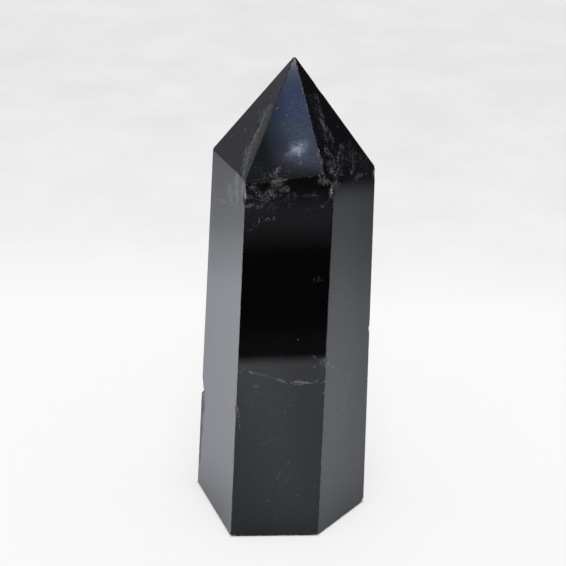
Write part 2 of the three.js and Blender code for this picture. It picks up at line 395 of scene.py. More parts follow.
# Chips, scars and nicks. Each hollow lies between two facets: share is its place along the edge,
# aside moves it on to the second facet (the first if negative), then its length, width and depth.
wear = {
    "uprightFlakes": [
        ("leftBack", "left", 0.316, 0.1, 3.4, 2.2, 0.4),
        ("leftBack", "left", 0.305, 0, 2.2, 3.4, 1.15),
        ("leftBack", "left", 0.26, 1.25, 6.4, 2.5, 0.28),
        ("leftBack", "left", 0.19, 1, 7.8, 2, 0.2),
        ("leftBack", "left", 0.11, 0.75, 7.4, 1.5, 0.14),
        ("front", "left", 0.385, 0.2, 2.4, 0.9, 0.12),
        ("front", "left", 0.97, 0.5, 3.4, 1.4, 0.2),
        ("front", "right", 0.527, 0.1, 2, 1, 0.14),
        ("front", "right", 0.985, -0.3, 2.6, 1.8, 0.26),
        ("right", "rightBack", 0.55, 0, 1.8, 1.4, 0.3),
        ("right", "rightBack", 0.99, -0.4, 2.2, 1.6, 0.22),
        ("back", "leftBack", 0.72, 0.2, 3, 1.5, 0.24),
        ("back", "leftBack", 0.06, 0, 2.8, 1.9, 0.36),
        ("rightBack", "back", 0.34, -0.2, 4.2, 1.5, 0.24),
    ],
    "ridgeFlakes": [
        ("front", "right", 0.12, 0.2, 2, 1, 0.16),
        ("right", "rightBack", 0.7, 0.2, 2.4, 1.2, 0.18),
        ("back", "leftBack", 0.38, 0, 3.2, 1.4, 0.24),
    ],
    "shoulderFlakes": [
        ("right", 0.06, 0.3, 2.4, 1.6, 0.24),
        ("right", 0.62, 0.2, 2.6, 1, 0.16),
        ("front", 0.97, 0.1, 2.8, 1.3, 0.2),
        ("front", 0.38, 0.1, 3, 0.9, 0.14),
        ("back", 0.45, 0.1, 3.4, 1.2, 0.2),
    ],
    "footFlakes": [
        ("front", 0.01, 0, 1.7, 1.5, 0.85),
        ("front", 0.99, 0, 1.5, 1.4, 0.8),
        ("right", 0.985, 0, 1.7, 1.5, 0.85),
    ],
    # the long scar down the left of the front left ridge: share up the ridge, width, depth
    "scar": [
        (-0.04, 2, 0.14), (0.045, 2.4, 0.18), (0.114, 2.9, 0.21), (0.2, 3.7, 0.24),
        (0.245, 4.3, 0.26), (0.334, 3.9, 0.25), (0.39, 3.5, 0.24), (0.44, 3.1, 0.22),
        (0.51, 3.7, 0.22), (0.545, 3.8, 0.16), (0.575, 2, 0.06),
    ],
    "scarFall": 0.6,  # below 1, the floor falls fastest by the ridge
    "scarLip": 1.7,  # how far the scar's outer wall runs for each millimetre that it rises
    "scarLap": 0.25,  # how far the cut laps over the ridge
    "scarProud": 0.02,  # and how far it stands clear there
    "scarRoom": 1.2,  # height of the cut above the floor
    "scarJag": (60, 0.1),  # how close the jags of the outer wall are, and their size
    "scarRings": (17, 0.022),  # the same of the rings on the floor
    "scarWander": (14, 2, 2.5),  # how close they wander, along and outwards, and how far
    "scarGrain": (34, 3, 0.04),  # how close the grain is, along and outwards, and its height
    "scarCalm": 4,  # rings and grain are full a quarter of the way out from the ridge
    "scarGrid": (90, 14),
    "nicksPerEdge": {"upright": 13, "ridge": 5, "shoulder": 5, "foot": 9},
    "nickShare": (0.03, 0.97),
    "nickLength": (0.35, 1.3),
    "nickWidth": (0.28, 0.75),
    "nickDepth": (0.03, 0.1),
    "arrisDepth": 0.04,  # how deep the bevels already cut
    "footDepth": 0.28,
    "flakeBall": (5, 0.016, 0.02),  # subdivisions, and height of the rings and of the grain
    "nickBall": (2, 0.02, 0.12),
    "ringSize": 0.6,
    "ringTurbulence": 1.5,
    "grainSize": 0.16,
    "struckAt": (0.75, 0.1, -0.8),  # where the rings on a ball spread from
    "struckSize": 0.55,
    "creaseAngle": 26,
    "seed": 71,
}


def flakeMatrix(edge, share, aside, length, width, depth):
    (_, first), (_, second), start, end = edge
    facet, other = (first, second) if aside < 0 else (second, first)
    along = (end - start).normalized()
    inward = facet.cross(along)
    inward *= -math.copysign(1, inward.dot(other))
    clear = min(1, 2 * abs(aside) / width)
    out = (facet + other).normalized().lerp(facet, clear).normalized()
    radius = width * width / (8 * depth) + depth / 2  # of the ball that leaves this hollow
    centre = start.lerp(end, share) + inward * abs(aside) + out * (radius - depth)
    matrix = Matrix(
        (along * radius * length / width, out.cross(along) * radius, out * radius)
    ).transposed().to_4x4()
    matrix.translation = centre
    return matrix


def makeBiteTool(name, subdivisions, ripple, grain):
    # a ball with faint rings and grain, as a shell-like break leaves them
    deselectAll()
    bpy.ops.mesh.primitive_ico_sphere_add(subdivisions=subdivisions, radius=1, location=(0, 0, 0))
    tool = bpy.context.object
    tool.name = name
    deselectAll()
    bpy.ops.object.empty_add(location=wear["struckAt"])
    struck = bpy.context.object
    struck.scale = (wear["struckSize"],) * 3
    bpy.context.view_layer.update()
    rings = bpy.data.textures.new(name + "Rings", "WOOD")
    rings.wood_type = "RINGNOISE"
    rings.noise_basis_2 = "SIN"
    rings.noise_scale = wear["ringSize"]
    rings.turbulence = wear["ringTurbulence"]
    rough = bpy.data.textures.new(name + "Grain", "CLOUDS")
    rough.noise_scale = wear["grainSize"]
    for texture, strength in ((rings, ripple), (rough, grain)):
        shift = tool.modifiers.new("shift", "DISPLACE")
        shift.texture = texture
        shift.texture_coords = "OBJECT" if texture == rings else "LOCAL"
        if texture == rings:
            shift.texture_coords_object = struck
        shift.mid_level = 0.5
        shift.strength = strength
    applyModifiers(tool)
    bpy.data.objects.remove(struck)
    markBroken(tool)
    return tool


def scarSpot(along, out):
    # a spot on the scar's floor: along it from 0 to 1, and out from the ridge from 0 to 1
    _, (_, normal), low, top = ridgeEdge("front", "left")
    aside = normal.cross((top - low).normalized())
    rows = wear["scar"]
    share = rows[0][0] + along * (rows[-1][0] - rows[0][0])
    a, b = next((a, b) for a, b in zip(rows, rows[1:]) if share <= b[0] + 1e-6)
    t = (share - a[0]) / (b[0] - a[0])
    width, depth = a[1] + (b[1] - a[1]) * t, a[2] + (b[2] - a[2]) * t
    # 3, 4 and 7 only keep the three noises apart
    close, size = wear["scarJag"]
    jag = size * noise.noise(Vector((share * close, 3, 0))) * out
    lengthways, outwards, far = wear["scarWander"]
    wander = far * noise.noise(Vector((share * lengthways, out * outwards, 4)))
    close, high = wear["scarRings"]
    rings = high * math.sin(out * close + wander)
    lengthways, outwards, high = wear["scarGrain"]
    grain = high * noise.noise(Vector((share * lengthways, out * outwards, 7)))
    ripple = (rings + grain) * min(1, wear["scarCalm"] * out)
    sunk = depth * out ** wear["scarFall"] + ripple
    lap = wear["scarLap"]
    spot = low.lerp(top, share) + aside * ((width + lap) * out - lap + jag)
    return spot - normal * (sunk if out > 0 else -wear["scarProud"]), normal, aside


def makeScarTool():
    # a strip that follows the ridge, shallow at the ridge and stepped at its far side
    deselectAll()
    columns, rows = wear["scarGrid"]
    bpy.ops.mesh.primitive_grid_add(
        x_subdivisions=columns, y_subdivisions=rows, size=1, location=(0, 0, 0)
    )
    tool = bpy.context.object
    tool.name = "scarTool"
    for vertex in tool.data.vertices:
        vertex.co, normal, aside = scarSpot(vertex.co.x + 0.5, vertex.co.y + 0.5)
    makeActive(tool)
    bpy.ops.object.mode_set(mode="EDIT")
    bpy.ops.mesh.select_all(action="SELECT")
    room = wear["scarRoom"]
    rise = normal * room + aside * room * wear["scarLip"]
    bpy.ops.mesh.extrude_region_move(TRANSFORM_OT_translate={"value": rise})
    bpy.ops.mesh.select_all(action="SELECT")
    bpy.ops.mesh.normals_make_consistent(inside=False)
    bpy.ops.object.mode_set(mode="OBJECT")
    markBroken(tool)
    return tool


def markBroken(tool):
    for finish in (polishedStone, brokenStone):
        tool.data.materials.append(finish)
    for face in tool.data.polygons:
        face.material_index = 1


def placeBite(tool, matrix, turn, tools):
    bite = tool.copy()
    bite.data = tool.data.copy()
    tools.objects.link(bite)
    bite.data.transform(matrix @ Matrix.Rotation(turn, 4, "Z"))


def chipCrystal(crystal):
    draw = random.Random(wear["seed"])
    flakeTool = makeBiteTool("flakeTool", *wear["flakeBall"])
    nickTool = makeBiteTool("nickTool", *wear["nickBall"])
    tools = bpy.data.collections.new("biteTools")
    scene.collection.children.link(tools)

    def bite(edge, values):
        placeBite(flakeTool, flakeMatrix(edge, *values), draw.uniform(0, fullTurn), tools)

    scar = makeScarTool()
    for holder in list(scar.users_collection):
        holder.objects.unlink(scar)
    tools.objects.link(scar)
    for one, other, *values in wear["uprightFlakes"]:
        bite(uprightEdge(one, other), values)
    for one, other, *values in wear["ridgeFlakes"]:
        bite(ridgeEdge(one, other), values)
    for name, *values in wear["shoulderFlakes"]:
        bite(shoulderEdge(name), values)
    for name, *values in wear["footFlakes"]:
        bite(footEdge(name), values)

    for name in order:
        edges = {
            "upright": uprightEdge(name, nextTo(name)),
            "ridge": ridgeEdge(name, nextTo(name)),
            "shoulder": shoulderEdge(name),
            "foot": footEdge(name),
        }
        for kind, edge in edges.items():
            blunted = wear["footDepth"] if kind == "foot" else wear["arrisDepth"]
            for _ in range(wear["nicksPerEdge"][kind]):
                matrix = flakeMatrix(
                    edge,
                    draw.uniform(*wear["nickShare"]),
                    0,
                    draw.uniform(*wear["nickLength"]),
                    draw.uniform(*wear["nickWidth"]),
                    blunted + draw.uniform(*wear["nickDepth"]),
                )
                placeBite(nickTool, matrix, draw.uniform(0, fullTurn), tools)

    for finish in (polishedStone, brokenStone):
        crystal.data.materials.append(finish)
    cut = crystal.modifiers.new("bites", "BOOLEAN")
    cut.operation = "DIFFERENCE"
    cut.operand_type = "COLLECTION"
    cut.collection = tools
    cut.solver = "MANIFOLD"
    cut.material_mode = "INDEX"
    applyModifiers(crystal)
    for tool in list(tools.objects):
        removePiece(tool)
    bpy.data.collections.remove(tools)
    removePiece(flakeTool)
    removePiece(nickTool)

    # the broken faces are told apart by an attribute, so that the stone stays one material
    broken = [face.material_index == 1 for face in crystal.data.polygons]
    chipped = crystal.data.attributes.new("chipped", "FLOAT", "FACE")
    chipped.data.foreach_set("value", [1.0 if b else 0.0 for b in broken])
    for face in crystal.data.polygons:
        face.material_index = 0
    crystal.data.materials.pop(index=1)
    makeActive(crystal)
    bpy.ops.object.shade_smooth_by_angle(angle=math.radians(wear["creaseAngle"]))
    for face, isBroken in zip(crystal.data.polygons, broken):
        face.use_smooth = isBroken  # the polished facets stay dead flat
    return sum(broken)


crystal = grindCrystal()
print("crystal ground:", len(crystal.data.polygons), "faces")
brokenFaces = chipCrystal(crystal)
bpy.data.materials.remove(brokenStone)
finishPiece(crystal)
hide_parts("crystal")
print("edges chipped:", brokenFaces, "broken faces")


# Veils, cracks and bruises inside the stone. A veil is a healed crack: a wispy sheet of tiny
# flakes just under a facet. Under each facet's name, every veil is a point on the facet, width and
# height, spin in degrees, depth, strength, how bare it is, the size of its patches, and its
# finish where it isn't pale. All specks share the three before the finish, and so do all wisps.
speck = (0.4, 0.3, 0.2)
wisp = (0.9, 0.38, 0.25)
veils = {
    "frontVeils": [
        ("front", [
            ((-2.1, -11.8, 80.0), (3.6, 2.6), 12, 0.111, 1.0, 0.4, 0.55, "rusty"),
            ((-1.8, -11.8, 78.2), (4.0, 2.0), -8, 0.153, 1.2, 0.42, 0.6),
            ((-2.8, -11.9, 79.0), (2.2, 1.6), 20, 0.136, 1.28, 0.4, 0.4),
            ((-3.9, -12.0, 77.3), (2.2, 2.0), 30, 0.102, 1.44, 0.4, 0.4),
            ((-7.0, -12.2, 78.1), (2.0, 1.4), 15, 0.128, *wisp),
            ((-6.0, -12.2, 77.0), (2.2, 1.8), -35, 0.128, 1.28, 0.42, 0.4, "rusty"),
            ((-7.6, -12.4, 74.6), (2.3, 1.1), 25, 0.093, *wisp),
            ((-5.9, -12.3, 74.5), (2.4, 1.3), 0, 0.153, 1.12, 0.42, 0.3),
            ((-4.6, -12.1, 76.8), (9.0, 8.0), 10, 0.36, 0.83, 0.45, 0.8),
            ((-5.3, -12.3, 74.0), (8.0, 4.0), 6, 0.42, 0.75, 0.46, 0.7),
            ((0.1, -11.8, 75.8), (3.2, 3.4), 0, 0.34, 0.5, 0.45, 0.5),
            ((-5.7, -12.4, 71.6), (0.55, 1.5), 0, 0.085, *speck),
            ((-4.2, -12.3, 71.7), (1.4, 0.9), 20, 0.102, *speck),
            ((-3.0, -12.2, 71.9), (0.9, 0.9), 0, 0.085, *speck),
            ((3.6, -11.6, 76.6), (3.6, 0.9), 2, 0.136, 0.5, 0.38, 0.3),
            ((-0.3, -11.8, 76.4), (0.6, 1.9), -5, 0.136, *speck),
            ((0.8, -11.8, 76.4), (0.6, 1.8), 8, 0.153, *speck),
            ((4.8, -11.5, 76.0), (3.0, 3.4), 20, 0.34, 0.5, 0.45, 0.45),
            ((4.0, -11.7, 73.0), (3.6, 3.0), 10, 0.42, 0.6, 0.46, 0.6),
            ((-6.9, -12.6, 69.9), (2.6, 2.0), 30, 0.42, 0.6, 0.46, 0.5),
            ((5.8, -12.2, 59.0), (3.0, 1.6), 10, 0.3, 0.75, 0.44, 0.5),
            ((-8.3, -14.1, 39.3), (2.2, 2.6), 30, 0.35, 0.9, 0.42, 0.5),
            ((-5.5, -14.1, 35.9), (1.8, 1.2), 30, 0.255, *wisp),
            ((-4.0, -14.1, 34.0), (2.2, 1.4), 20, 0.26, 1.05, 0.42, 0.4),
            ((-7.0, -14.4, 32.3), (2.8, 1.8), -10, 0.3, 0.9, 0.43, 0.4),
            ((2.8, -13.5, 36.1), (2.4, 1.0), 0, 0.136, *wisp),
            ((-0.8, -14.0, 31.3), (9, 7), 40, 0.3, 0.3, 0.47, 0.9),
            ((-2.6, -14.5, 23.1), (10, 8), -20, 0.3, 0.3, 0.48, 0.9),
            ((0.7, -14.7, 13.5), (10, 10), 30, 0.3, 0.3, 0.48, 1),
            ((-2.6, -15.2, 8.6), (0.8, 0.8), 0, 0.085, *speck),
            ((3.5, -14.7, 10.1), (1.1, 0.6), 0, 0.102, *speck),
            ((-4.1, -14.6, 22.4), (0.6, 1.0), 0, 0.102, *speck),
            ((-0.9, -15.3, 4.7), (0.6, 0.6), 0, 0.102, *speck),
            ((-5.3, -12.2, 76.0), (3.0, 1.6), -10, 0.1, 1.2, 0.44, 0.35),
            ((-2.9, -12.0, 76.4), (2.6, 1.4), 10, 0.1, 1, 0.44, 0.35, "rusty"),
            ((-1.2, -11.8, 77.6), (2.4, 1.6), 0, 0.11, 1, 0.42, 0.35, "rusty"),
            ((-7.8, -12.3, 76.2), (1.6, 1.2), 0, 0.11, 1.2, 0.42, 0.35),
        ]),
    ],
    "pointVeils": [
        ("frontPoint", [
            ((-2.6, -10.9, 81.4), (0.8, 2.2), -32, 0.085, *wisp),
            ((-3.0, -11.4, 80.7), (2.2, 2.4), -30, 0.136, 0.8, 0.38, 0.4, "rusty"),
            ((1.7, -10.2, 82.6), (0.6, 0.7), 0, 0.085, *speck),
            ((5.5, -10.1, 82.8), (0.5, 1.0), 0, 0.085, *speck),
            ((5.0, -9.1, 84.4), (0.7, 2.6), 8, 0.136, *wisp, "rusty"),
            ((-5.4, -11.2, 80.9), (4.5, 3.0), 10, 0.34, 0.4, 0.45, 0.6),
            ((-3.0, -5.1, 91.4), (0.7, 0.5), 0, 0.085, *speck),
            ((-1.1, -5.7, 90.3), (0.5, 0.5), 0, 0.085, *speck),
            ((0.6, -6.0, 89.8), (7, 9), 10, 0.16, 0.14, 0.4, 0.5),
        ]),
        ("leftPoint", [
            ((-9.0, -1.2, 85.2), (0.7, 0.7), 0, 0.102, *speck),
            ((-11.6, 1.6, 83.0), (0.6, 0.6), 0, 0.102, *speck),
            ((-4.3, -3.4, 91.1), (2.6, 1.0), 20, 0.136, *wisp),
            ((-9.9, -1.9, 83.4), (7, 6), 20, 0.5, 0.45, 0.48, 0.7),
        ]),
        ("rightPoint", [
            ((4.6, -1.7, 92.5), (1.1, 2.6), 10, 0.17, *wisp),
            ((4.1, -3.1, 91.6), (2.0, 5.5), 8, 0.34, 0.9, 0.43, 0.5, "rusty"),
            ((5.4, -3.0, 90.0), (1.2, 4.4), 6, 0.22, 0.9, 0.4, 0.4),
            ((5.9, -4.4, 88.0), (1.3, 3.6), 6, 0.111, 1.2, 0.38, 0.4),
            ((6.4, -5.5, 86.2), (1.2, 2.4), 0, 0.17, *wisp),
            ((7.3, -4.4, 86.3), (1.0, 4.2), 4, 0.128, 1.08, 0.4, 0.35),
            ((5.6, -5.1, 87.6), (4.0, 9.0), 8, 0.4, 0.75, 0.45, 0.6),
            ((8.2, -7.2, 82.1), (6.0, 7.0), 10, 0.4, 0.75, 0.45, 0.6),
            ((9.7, -4.0, 83.4), (1.4, 2.0), 20, 0.17, *wisp),
            ((14.2, -1.9, 80.0), (3.4, 4.0), 0, 0.35, 1.0, 0.45, 0.5),
            ((12.1, -4.8, 79.7), (0.7, 1.1), 0, 0.085, *speck),
            ((11.7, -5.8, 79.1), (0.8, 1.3), -20, 0.085, *speck),
            ((7.3, -8.8, 81.7), (2.6, 3.0), 20, 0.12, 0.9, 0.44, 0.35),
            ((9.3, -8.0, 80.0), (1.8, 1.8), 0, 0.11, 0.9, 0.42, 0.3),
            ((6.6, -7.3, 84.1), (1.6, 2.4), 0, 0.12, 1, 0.42, 0.3),
            ((9.8, -5.6, 81.8), (2.2, 3.0), 15, 0.14, 0.8, 0.45, 0.35),
            ((11.6, -3.2, 82.0), (4.4, 6.0), 10, 0.28, 0.7, 0.42, 0.5),
        ]),
        ("frontPoint", [
            ((-1.5, -11.0, 81.3), (3.4, 2.6), -20, 0.13, 0.4, 0.44, 0.4, "rusty"),
            ((-4.3, -11.6, 80.3), (3.4, 1.8), 0, 0.16, 0.3, 0.44, 0.35),
        ]),
    ],
    "bruises": [
        ("front", [
            ((5.5, -11.3, 80.3), (0.8, 1.0), 0, 0.085, *speck),
            ((6.4, -11.2, 79.5), (3.2, 2.0), -15, 0.119, 1.28, 0.42, 0.3),
            ((7.3, -11.1, 80.2), (1.0, 0.8), 0, 0.085, *speck),
            ((5.4, -11.3, 79.4), (0.9, 1.4), 0, 0.102, *speck),
        ]),
        ("rightPoint", [
            ((8.6, -9.3, 79.4), (1.2, 1.0), 0, 0.085, *speck),
            ((7.9, -9.2, 80.5), (2.2, 2.2), 0, 0.119, 1.0, 0.4, 0.35),
        ]),
        ("frontPoint", [
            ((6.2, -11.1, 80.9), (1.4, 1.2), 0, 0.093, *wisp),
        ]),
        ("front", [
            ((6.1, -11.5, 74.4), (0.9, 1.0), 0, 0.085, *speck),
        ]),
        ("right", [
            ((12.7, -5.5, 77.6), (0.9, 0.8), 0, 0.102, *speck),
            ((8.1, -12.9, 41.1), (1.0, 1.8), 0, 0.085, *wisp),
        ]),
        ("front", [
            ((7.4, -13.0, 41.0), (1.6, 2.0), 20, 0.136, 1.28, 0.4, 0.35),
            ((5.9, -13.1, 40.1), (0.9, 0.8), 0, 0.085, *speck),
            ((7.7, -13.3, 34.0), (0.8, 0.8), 0, 0.085, *speck),
        ]),
        ("left", [
            ((-10.2, -8.1, 78.4), (1.4, 3.6), 20, 0.102, 1.44, 0.38, 0.4),
            ((-8.8, -11.4, 76.6), (2.6, 2.6), 10, 0.085, 0.9, 0.36, 0.4),
            ((-10.6, -7.4, 75.3), (5.5, 6.0), 20, 0.3, 0.75, 0.44, 0.5),
            ((-10.1, -8.7, 74.3), (1.4, 3.0), 10, 0.119, 1.44, 0.38, 0.4),
            ((-10.0, -13.7, 29.3), (1.0, 0.9), 0, 0.085, *speck),
        ]),
        ("front", [
            ((-9.1, -14.6, 29.5), (0.5, 3.6), 4, 0.102, *wisp, "rusty"),
            ((-8.8, -14.7, 26.9), (0.4, 2.4), 4, 0.119, *speck),
        ]),
        ("left", [
            ((-16.0, -1.0, 16.1), (0.7, 3.0), 4, 0.255, *wisp),
            ((-10.4, -7.8, 76.3), (3.0, 5.0), 10, 0.13, 2.4, 0.34, 0.8, "tan"),
            ((-11.6, -5.1, 73.8), (4.0, 4.0), -20, 0.15, 1.8, 0.36, 0.8, "tan"),
            ((-9.0, -10.9, 77.2), (1.6, 3.0), 10, 0.09, 1.6, 0.34, 0.4),
        ]),
        ("front", [
            ((7.4, -11.3, 77.1), (0.7, 1.8), 4, 0.1, 0.4, 0.36, 0.35),
        ]),
    ],
    "backVeils": [
        ("leftBack", [
            ((-13.6, 8.5, 58.0), (7, 12), 25, 0.32, 0.5, 0.44, 0.9),
            ((-13.0, 9.5, 60.0), (2.4, 4), 35, 0.16, 0.8, 0.4, 0.5, "rusty"),
            ((-14.6, 9.0, 20.0), (6, 4), -15, 0.28, 0.6, 0.43, 0.7),
        ]),
        ("back", [
            ((3.0, 14.6, 70.0), (9, 5), 15, 0.32, 0.6, 0.43, 0.8),
            ((1.0, 14.6, 69.0), (3, 2.4), 15, 0.14, 0.9, 0.38, 0.5, "rusty"),
            ((-4.0, 15.0, 34.0), (6, 9), -30, 0.34, 0.5, 0.44, 0.9),
        ]),
        ("rightBack", [
            ((14.2, 5.6, 62.0), (5, 10), -20, 0.32, 0.5, 0.44, 0.9),
            ((14.6, 5.8, 24.0), (7, 4), 30, 0.28, 0.6, 0.43, 0.7),
        ]),
        ("backPoint", [
            ((0.5, 8.0, 87.0), (6, 6), 20, 0.3, 0.5, 0.44, 0.7),
        ]),
        ("leftBackPoint", [
            ((-8.0, 5.0, 86.0), (5, 6), 10, 0.3, 0.5, 0.44, 0.7),
        ]),
        ("rightBackPoint", [
            ((10.0, 3.0, 85.0), (3.4, 4.0), 10, 0.26, 0.6, 0.43, 0.6),
        ]),
        ("right", [
            ((12.8, -8.0, 55.0), (5, 9), 20, 0.45, 0.35, 0.47, 0.9),
        ]),
    ],
}

# A crack runs along points on its facet, and has width, depth, strength, how bare it is and the
# size of its patches. All of them are pale.
cracks = [
    ("front", [
        ([(-6.9, -14.0, 38.8), (-5.3, -14.0, 38.5), (-2.9, -13.8, 37.8), (-0.7, -13.7, 37.0),
          (0.9, -13.7, 36.3)],
         0.4, 0.35, 0.9, 0.38, 0.5),
        ([(-1.7, -13.8, 37.5), (-0.7, -13.7, 37.0), (0.1, -13.7, 36.7)],
         0.55, 0.14, 2.2, 0.3, 0.3),
        ([(1.9, -13.6, 36.7), (2.9, -13.5, 36.8), (3.9, -13.4, 36.5), (4.9, -13.4, 36.5)],
         0.6, 0.15, 2.2, 0.3, 0.35),
        ([(0.9, -13.7, 36.3), (2.3, -13.5, 36.7), (4.3, -13.4, 36.5), (5.9, -13.3, 36.5),
          (6.8, -13.2, 37.2)],
         0.5, 0.3, 1.3, 0.38, 0.5),
        ([(-7.2, -14.1, 39.0), (-6.6, -14.0, 38.9), (-6.1, -14.0, 38.7)],
         0.52, 0.14, 2.2, 0.28, 0.3),
        ([(5.0, -13.1, 42.5), (5.9, -13.0, 42.1), (7.0, -13.0, 40.8)],
         0.6, 0.24, 1.17, 0.42, 0.28),
        ([(7.3, -13.2, 36.3), (7.8, -13.2, 36.8), (8.1, -13.1, 37.5)],
         0.38, 0.16, 1.17, 0.42, 0.28),
        ([(7.9, -11.1, 79.7), (7.8, -11.2, 78.5), (7.7, -11.3, 77.3), (7.4, -11.3, 76.0),
          (6.8, -11.4, 75.1), (6.0, -11.5, 74.4)],
         0.52, 0.2, 0.75, 0.4, 0.35),
        ([(2.1, -14.4, 19.1), (0.8, -14.5, 17.4), (-0.5, -14.7, 15.2), (-0.8, -14.8, 13.9)],
         0.45, 0.24, 1.17, 0.42, 0.28),
        ([(-4.1, -14.6, 22.4), (-2.6, -14.5, 23.1), (-0.8, -14.3, 23.8), (1.0, -14.2, 24.4),
          (2.8, -14.1, 24.5)],
         0.45, 0.4, 0.65, 0.46, 0.35),
        ([(5.2, -14.8, 5.0), (5.7, -14.8, 5.4), (6.4, -14.7, 5.5)],
         0.38, 0.2, 1.17, 0.42, 0.21),
    ]),
    ("left", [
        ([(-15.3, 3.1, 69.1), (-14.3, 0.8, 69.7), (-13.3, -1.5, 70.3), (-12.0, -4.5, 71.1),
          (-11.0, -6.9, 72.0), (-10.2, -8.5, 73.3), (-10.1, -8.7, 74.6)],
         0.52, 0.2, 1.1, 0.4, 0.35),
    ]),
    ("right", [
        ([(14.0, -5.7, 35.0), (13.2, -6.9, 33.5), (12.8, -7.4, 32.1), (12.7, -7.6, 30.6),
          (12.5, -8.0, 28.6), (12.3, -8.2, 26.8), (11.8, -8.9, 26.0)],
         0.3, 0.16, 2.2, 0.34, 0.8),
        ([(10.7, -10.4, 22.3), (10.3, -11.0, 21.9), (9.9, -11.5, 21.7)],
         0.3, 0.16, 0.99, 0.42, 0.28),
        ([(8.5, -12.4, 40.6), (9.2, -11.6, 39.8), (10.0, -10.6, 38.5)],
         0.45, 0.16, 1.21, 0.38, 0.28),
    ]),
    ("rightPoint", [
        ([(6.7, -7.6, 83.6), (7.4, -7.0, 83.3), (8.0, -7.1, 82.4), (8.2, -7.9, 81.3),
          (8.0, -9.0, 80.6)],
         0.6, 0.176, 1.21, 0.38, 0.28),
        ([(9.6, -4.3, 83.4), (9.0, -5.6, 82.8), (8.8, -6.7, 81.9), (8.9, -7.7, 80.7),
          (8.5, -8.9, 80.0)],
         0.6, 0.176, 1.21, 0.38, 0.28),
        ([(6.3, -7.1, 84.6), (7.0, -6.9, 83.9), (7.4, -7.5, 82.8), (7.3, -8.6, 81.8)],
         0.52, 0.2, 0.99, 0.42, 0.28),
        ([(11.9, -2.7, 82.1), (11.8, -3.7, 81.1), (12.0, -4.6, 80.0), (11.8, -5.6, 79.2)],
         0.6, 0.176, 1.21, 0.38, 0.28),
        ([(8.8, -7.5, 81.0), (10.0, -6.2, 80.9), (11.0, -5.6, 80.2), (11.4, -5.9, 79.3)],
         0.6, 0.24, 0.77, 0.44, 0.28),
        ([(4.5, -1.1, 93.2), (5.0, -1.8, 91.8), (5.3, -2.8, 90.3), (5.7, -3.7, 88.9),
          (6.1, -5.0, 87.2)],
         0.6, 0.176, 0.99, 0.4, 0.28),
    ]),
    ("leftPoint", [
        ([(-6.9, -0.9, 88.7), (-5.6, -2.6, 89.6), (-4.7, -3.5, 90.5), (-3.6, -4.8, 91.4)],
         0.38, 0.2, 0.99, 0.42, 0.28),
        ([(-6.4, -2.5, 88.4), (-7.0, -3.6, 86.9), (-7.9, -4.0, 85.2), (-8.8, -4.6, 83.4),
          (-9.0, -6.4, 81.8), (-9.4, -7.8, 80.4), (-9.7, -8.9, 79.3)],
         0.5, 0.12, 0.2, 0.4, 0.28),
        ([(-7.4, -3.8, 86.1), (-8.0, -4.1, 85.0), (-8.5, -4.5, 83.9), (-8.9, -5.3, 82.8),
          (-9.1, -6.4, 81.8)],
         0.4, 0.096, 0.2, 0.4, 0.28),
    ]),
    ("backPoint", [
        ([(-3.0, 9.0, 84.0), (0.0, 8.0, 86.5), (2.5, 7.0, 88.0)],
         0.4, 0.3, 0.8, 0.4, 0.5),
    ]),
    ("leftBack", [
        ([(-15.0, 6.0, 40.0), (-14.0, 8.0, 42.0), (-12.6, 10.5, 41.0), (-11.4, 12.6, 38.0)],
         0.4, 0.3, 0.9, 0.38, 0.6),
    ]),
    ("back", [
        ([(-7.0, 15.0, 52.0), (-2.0, 15.0, 50.0), (3.0, 15.0, 51.5), (7.0, 15.0, 55.0)],
         0.4, 0.3, 0.9, 0.38, 0.6),
    ]),
]

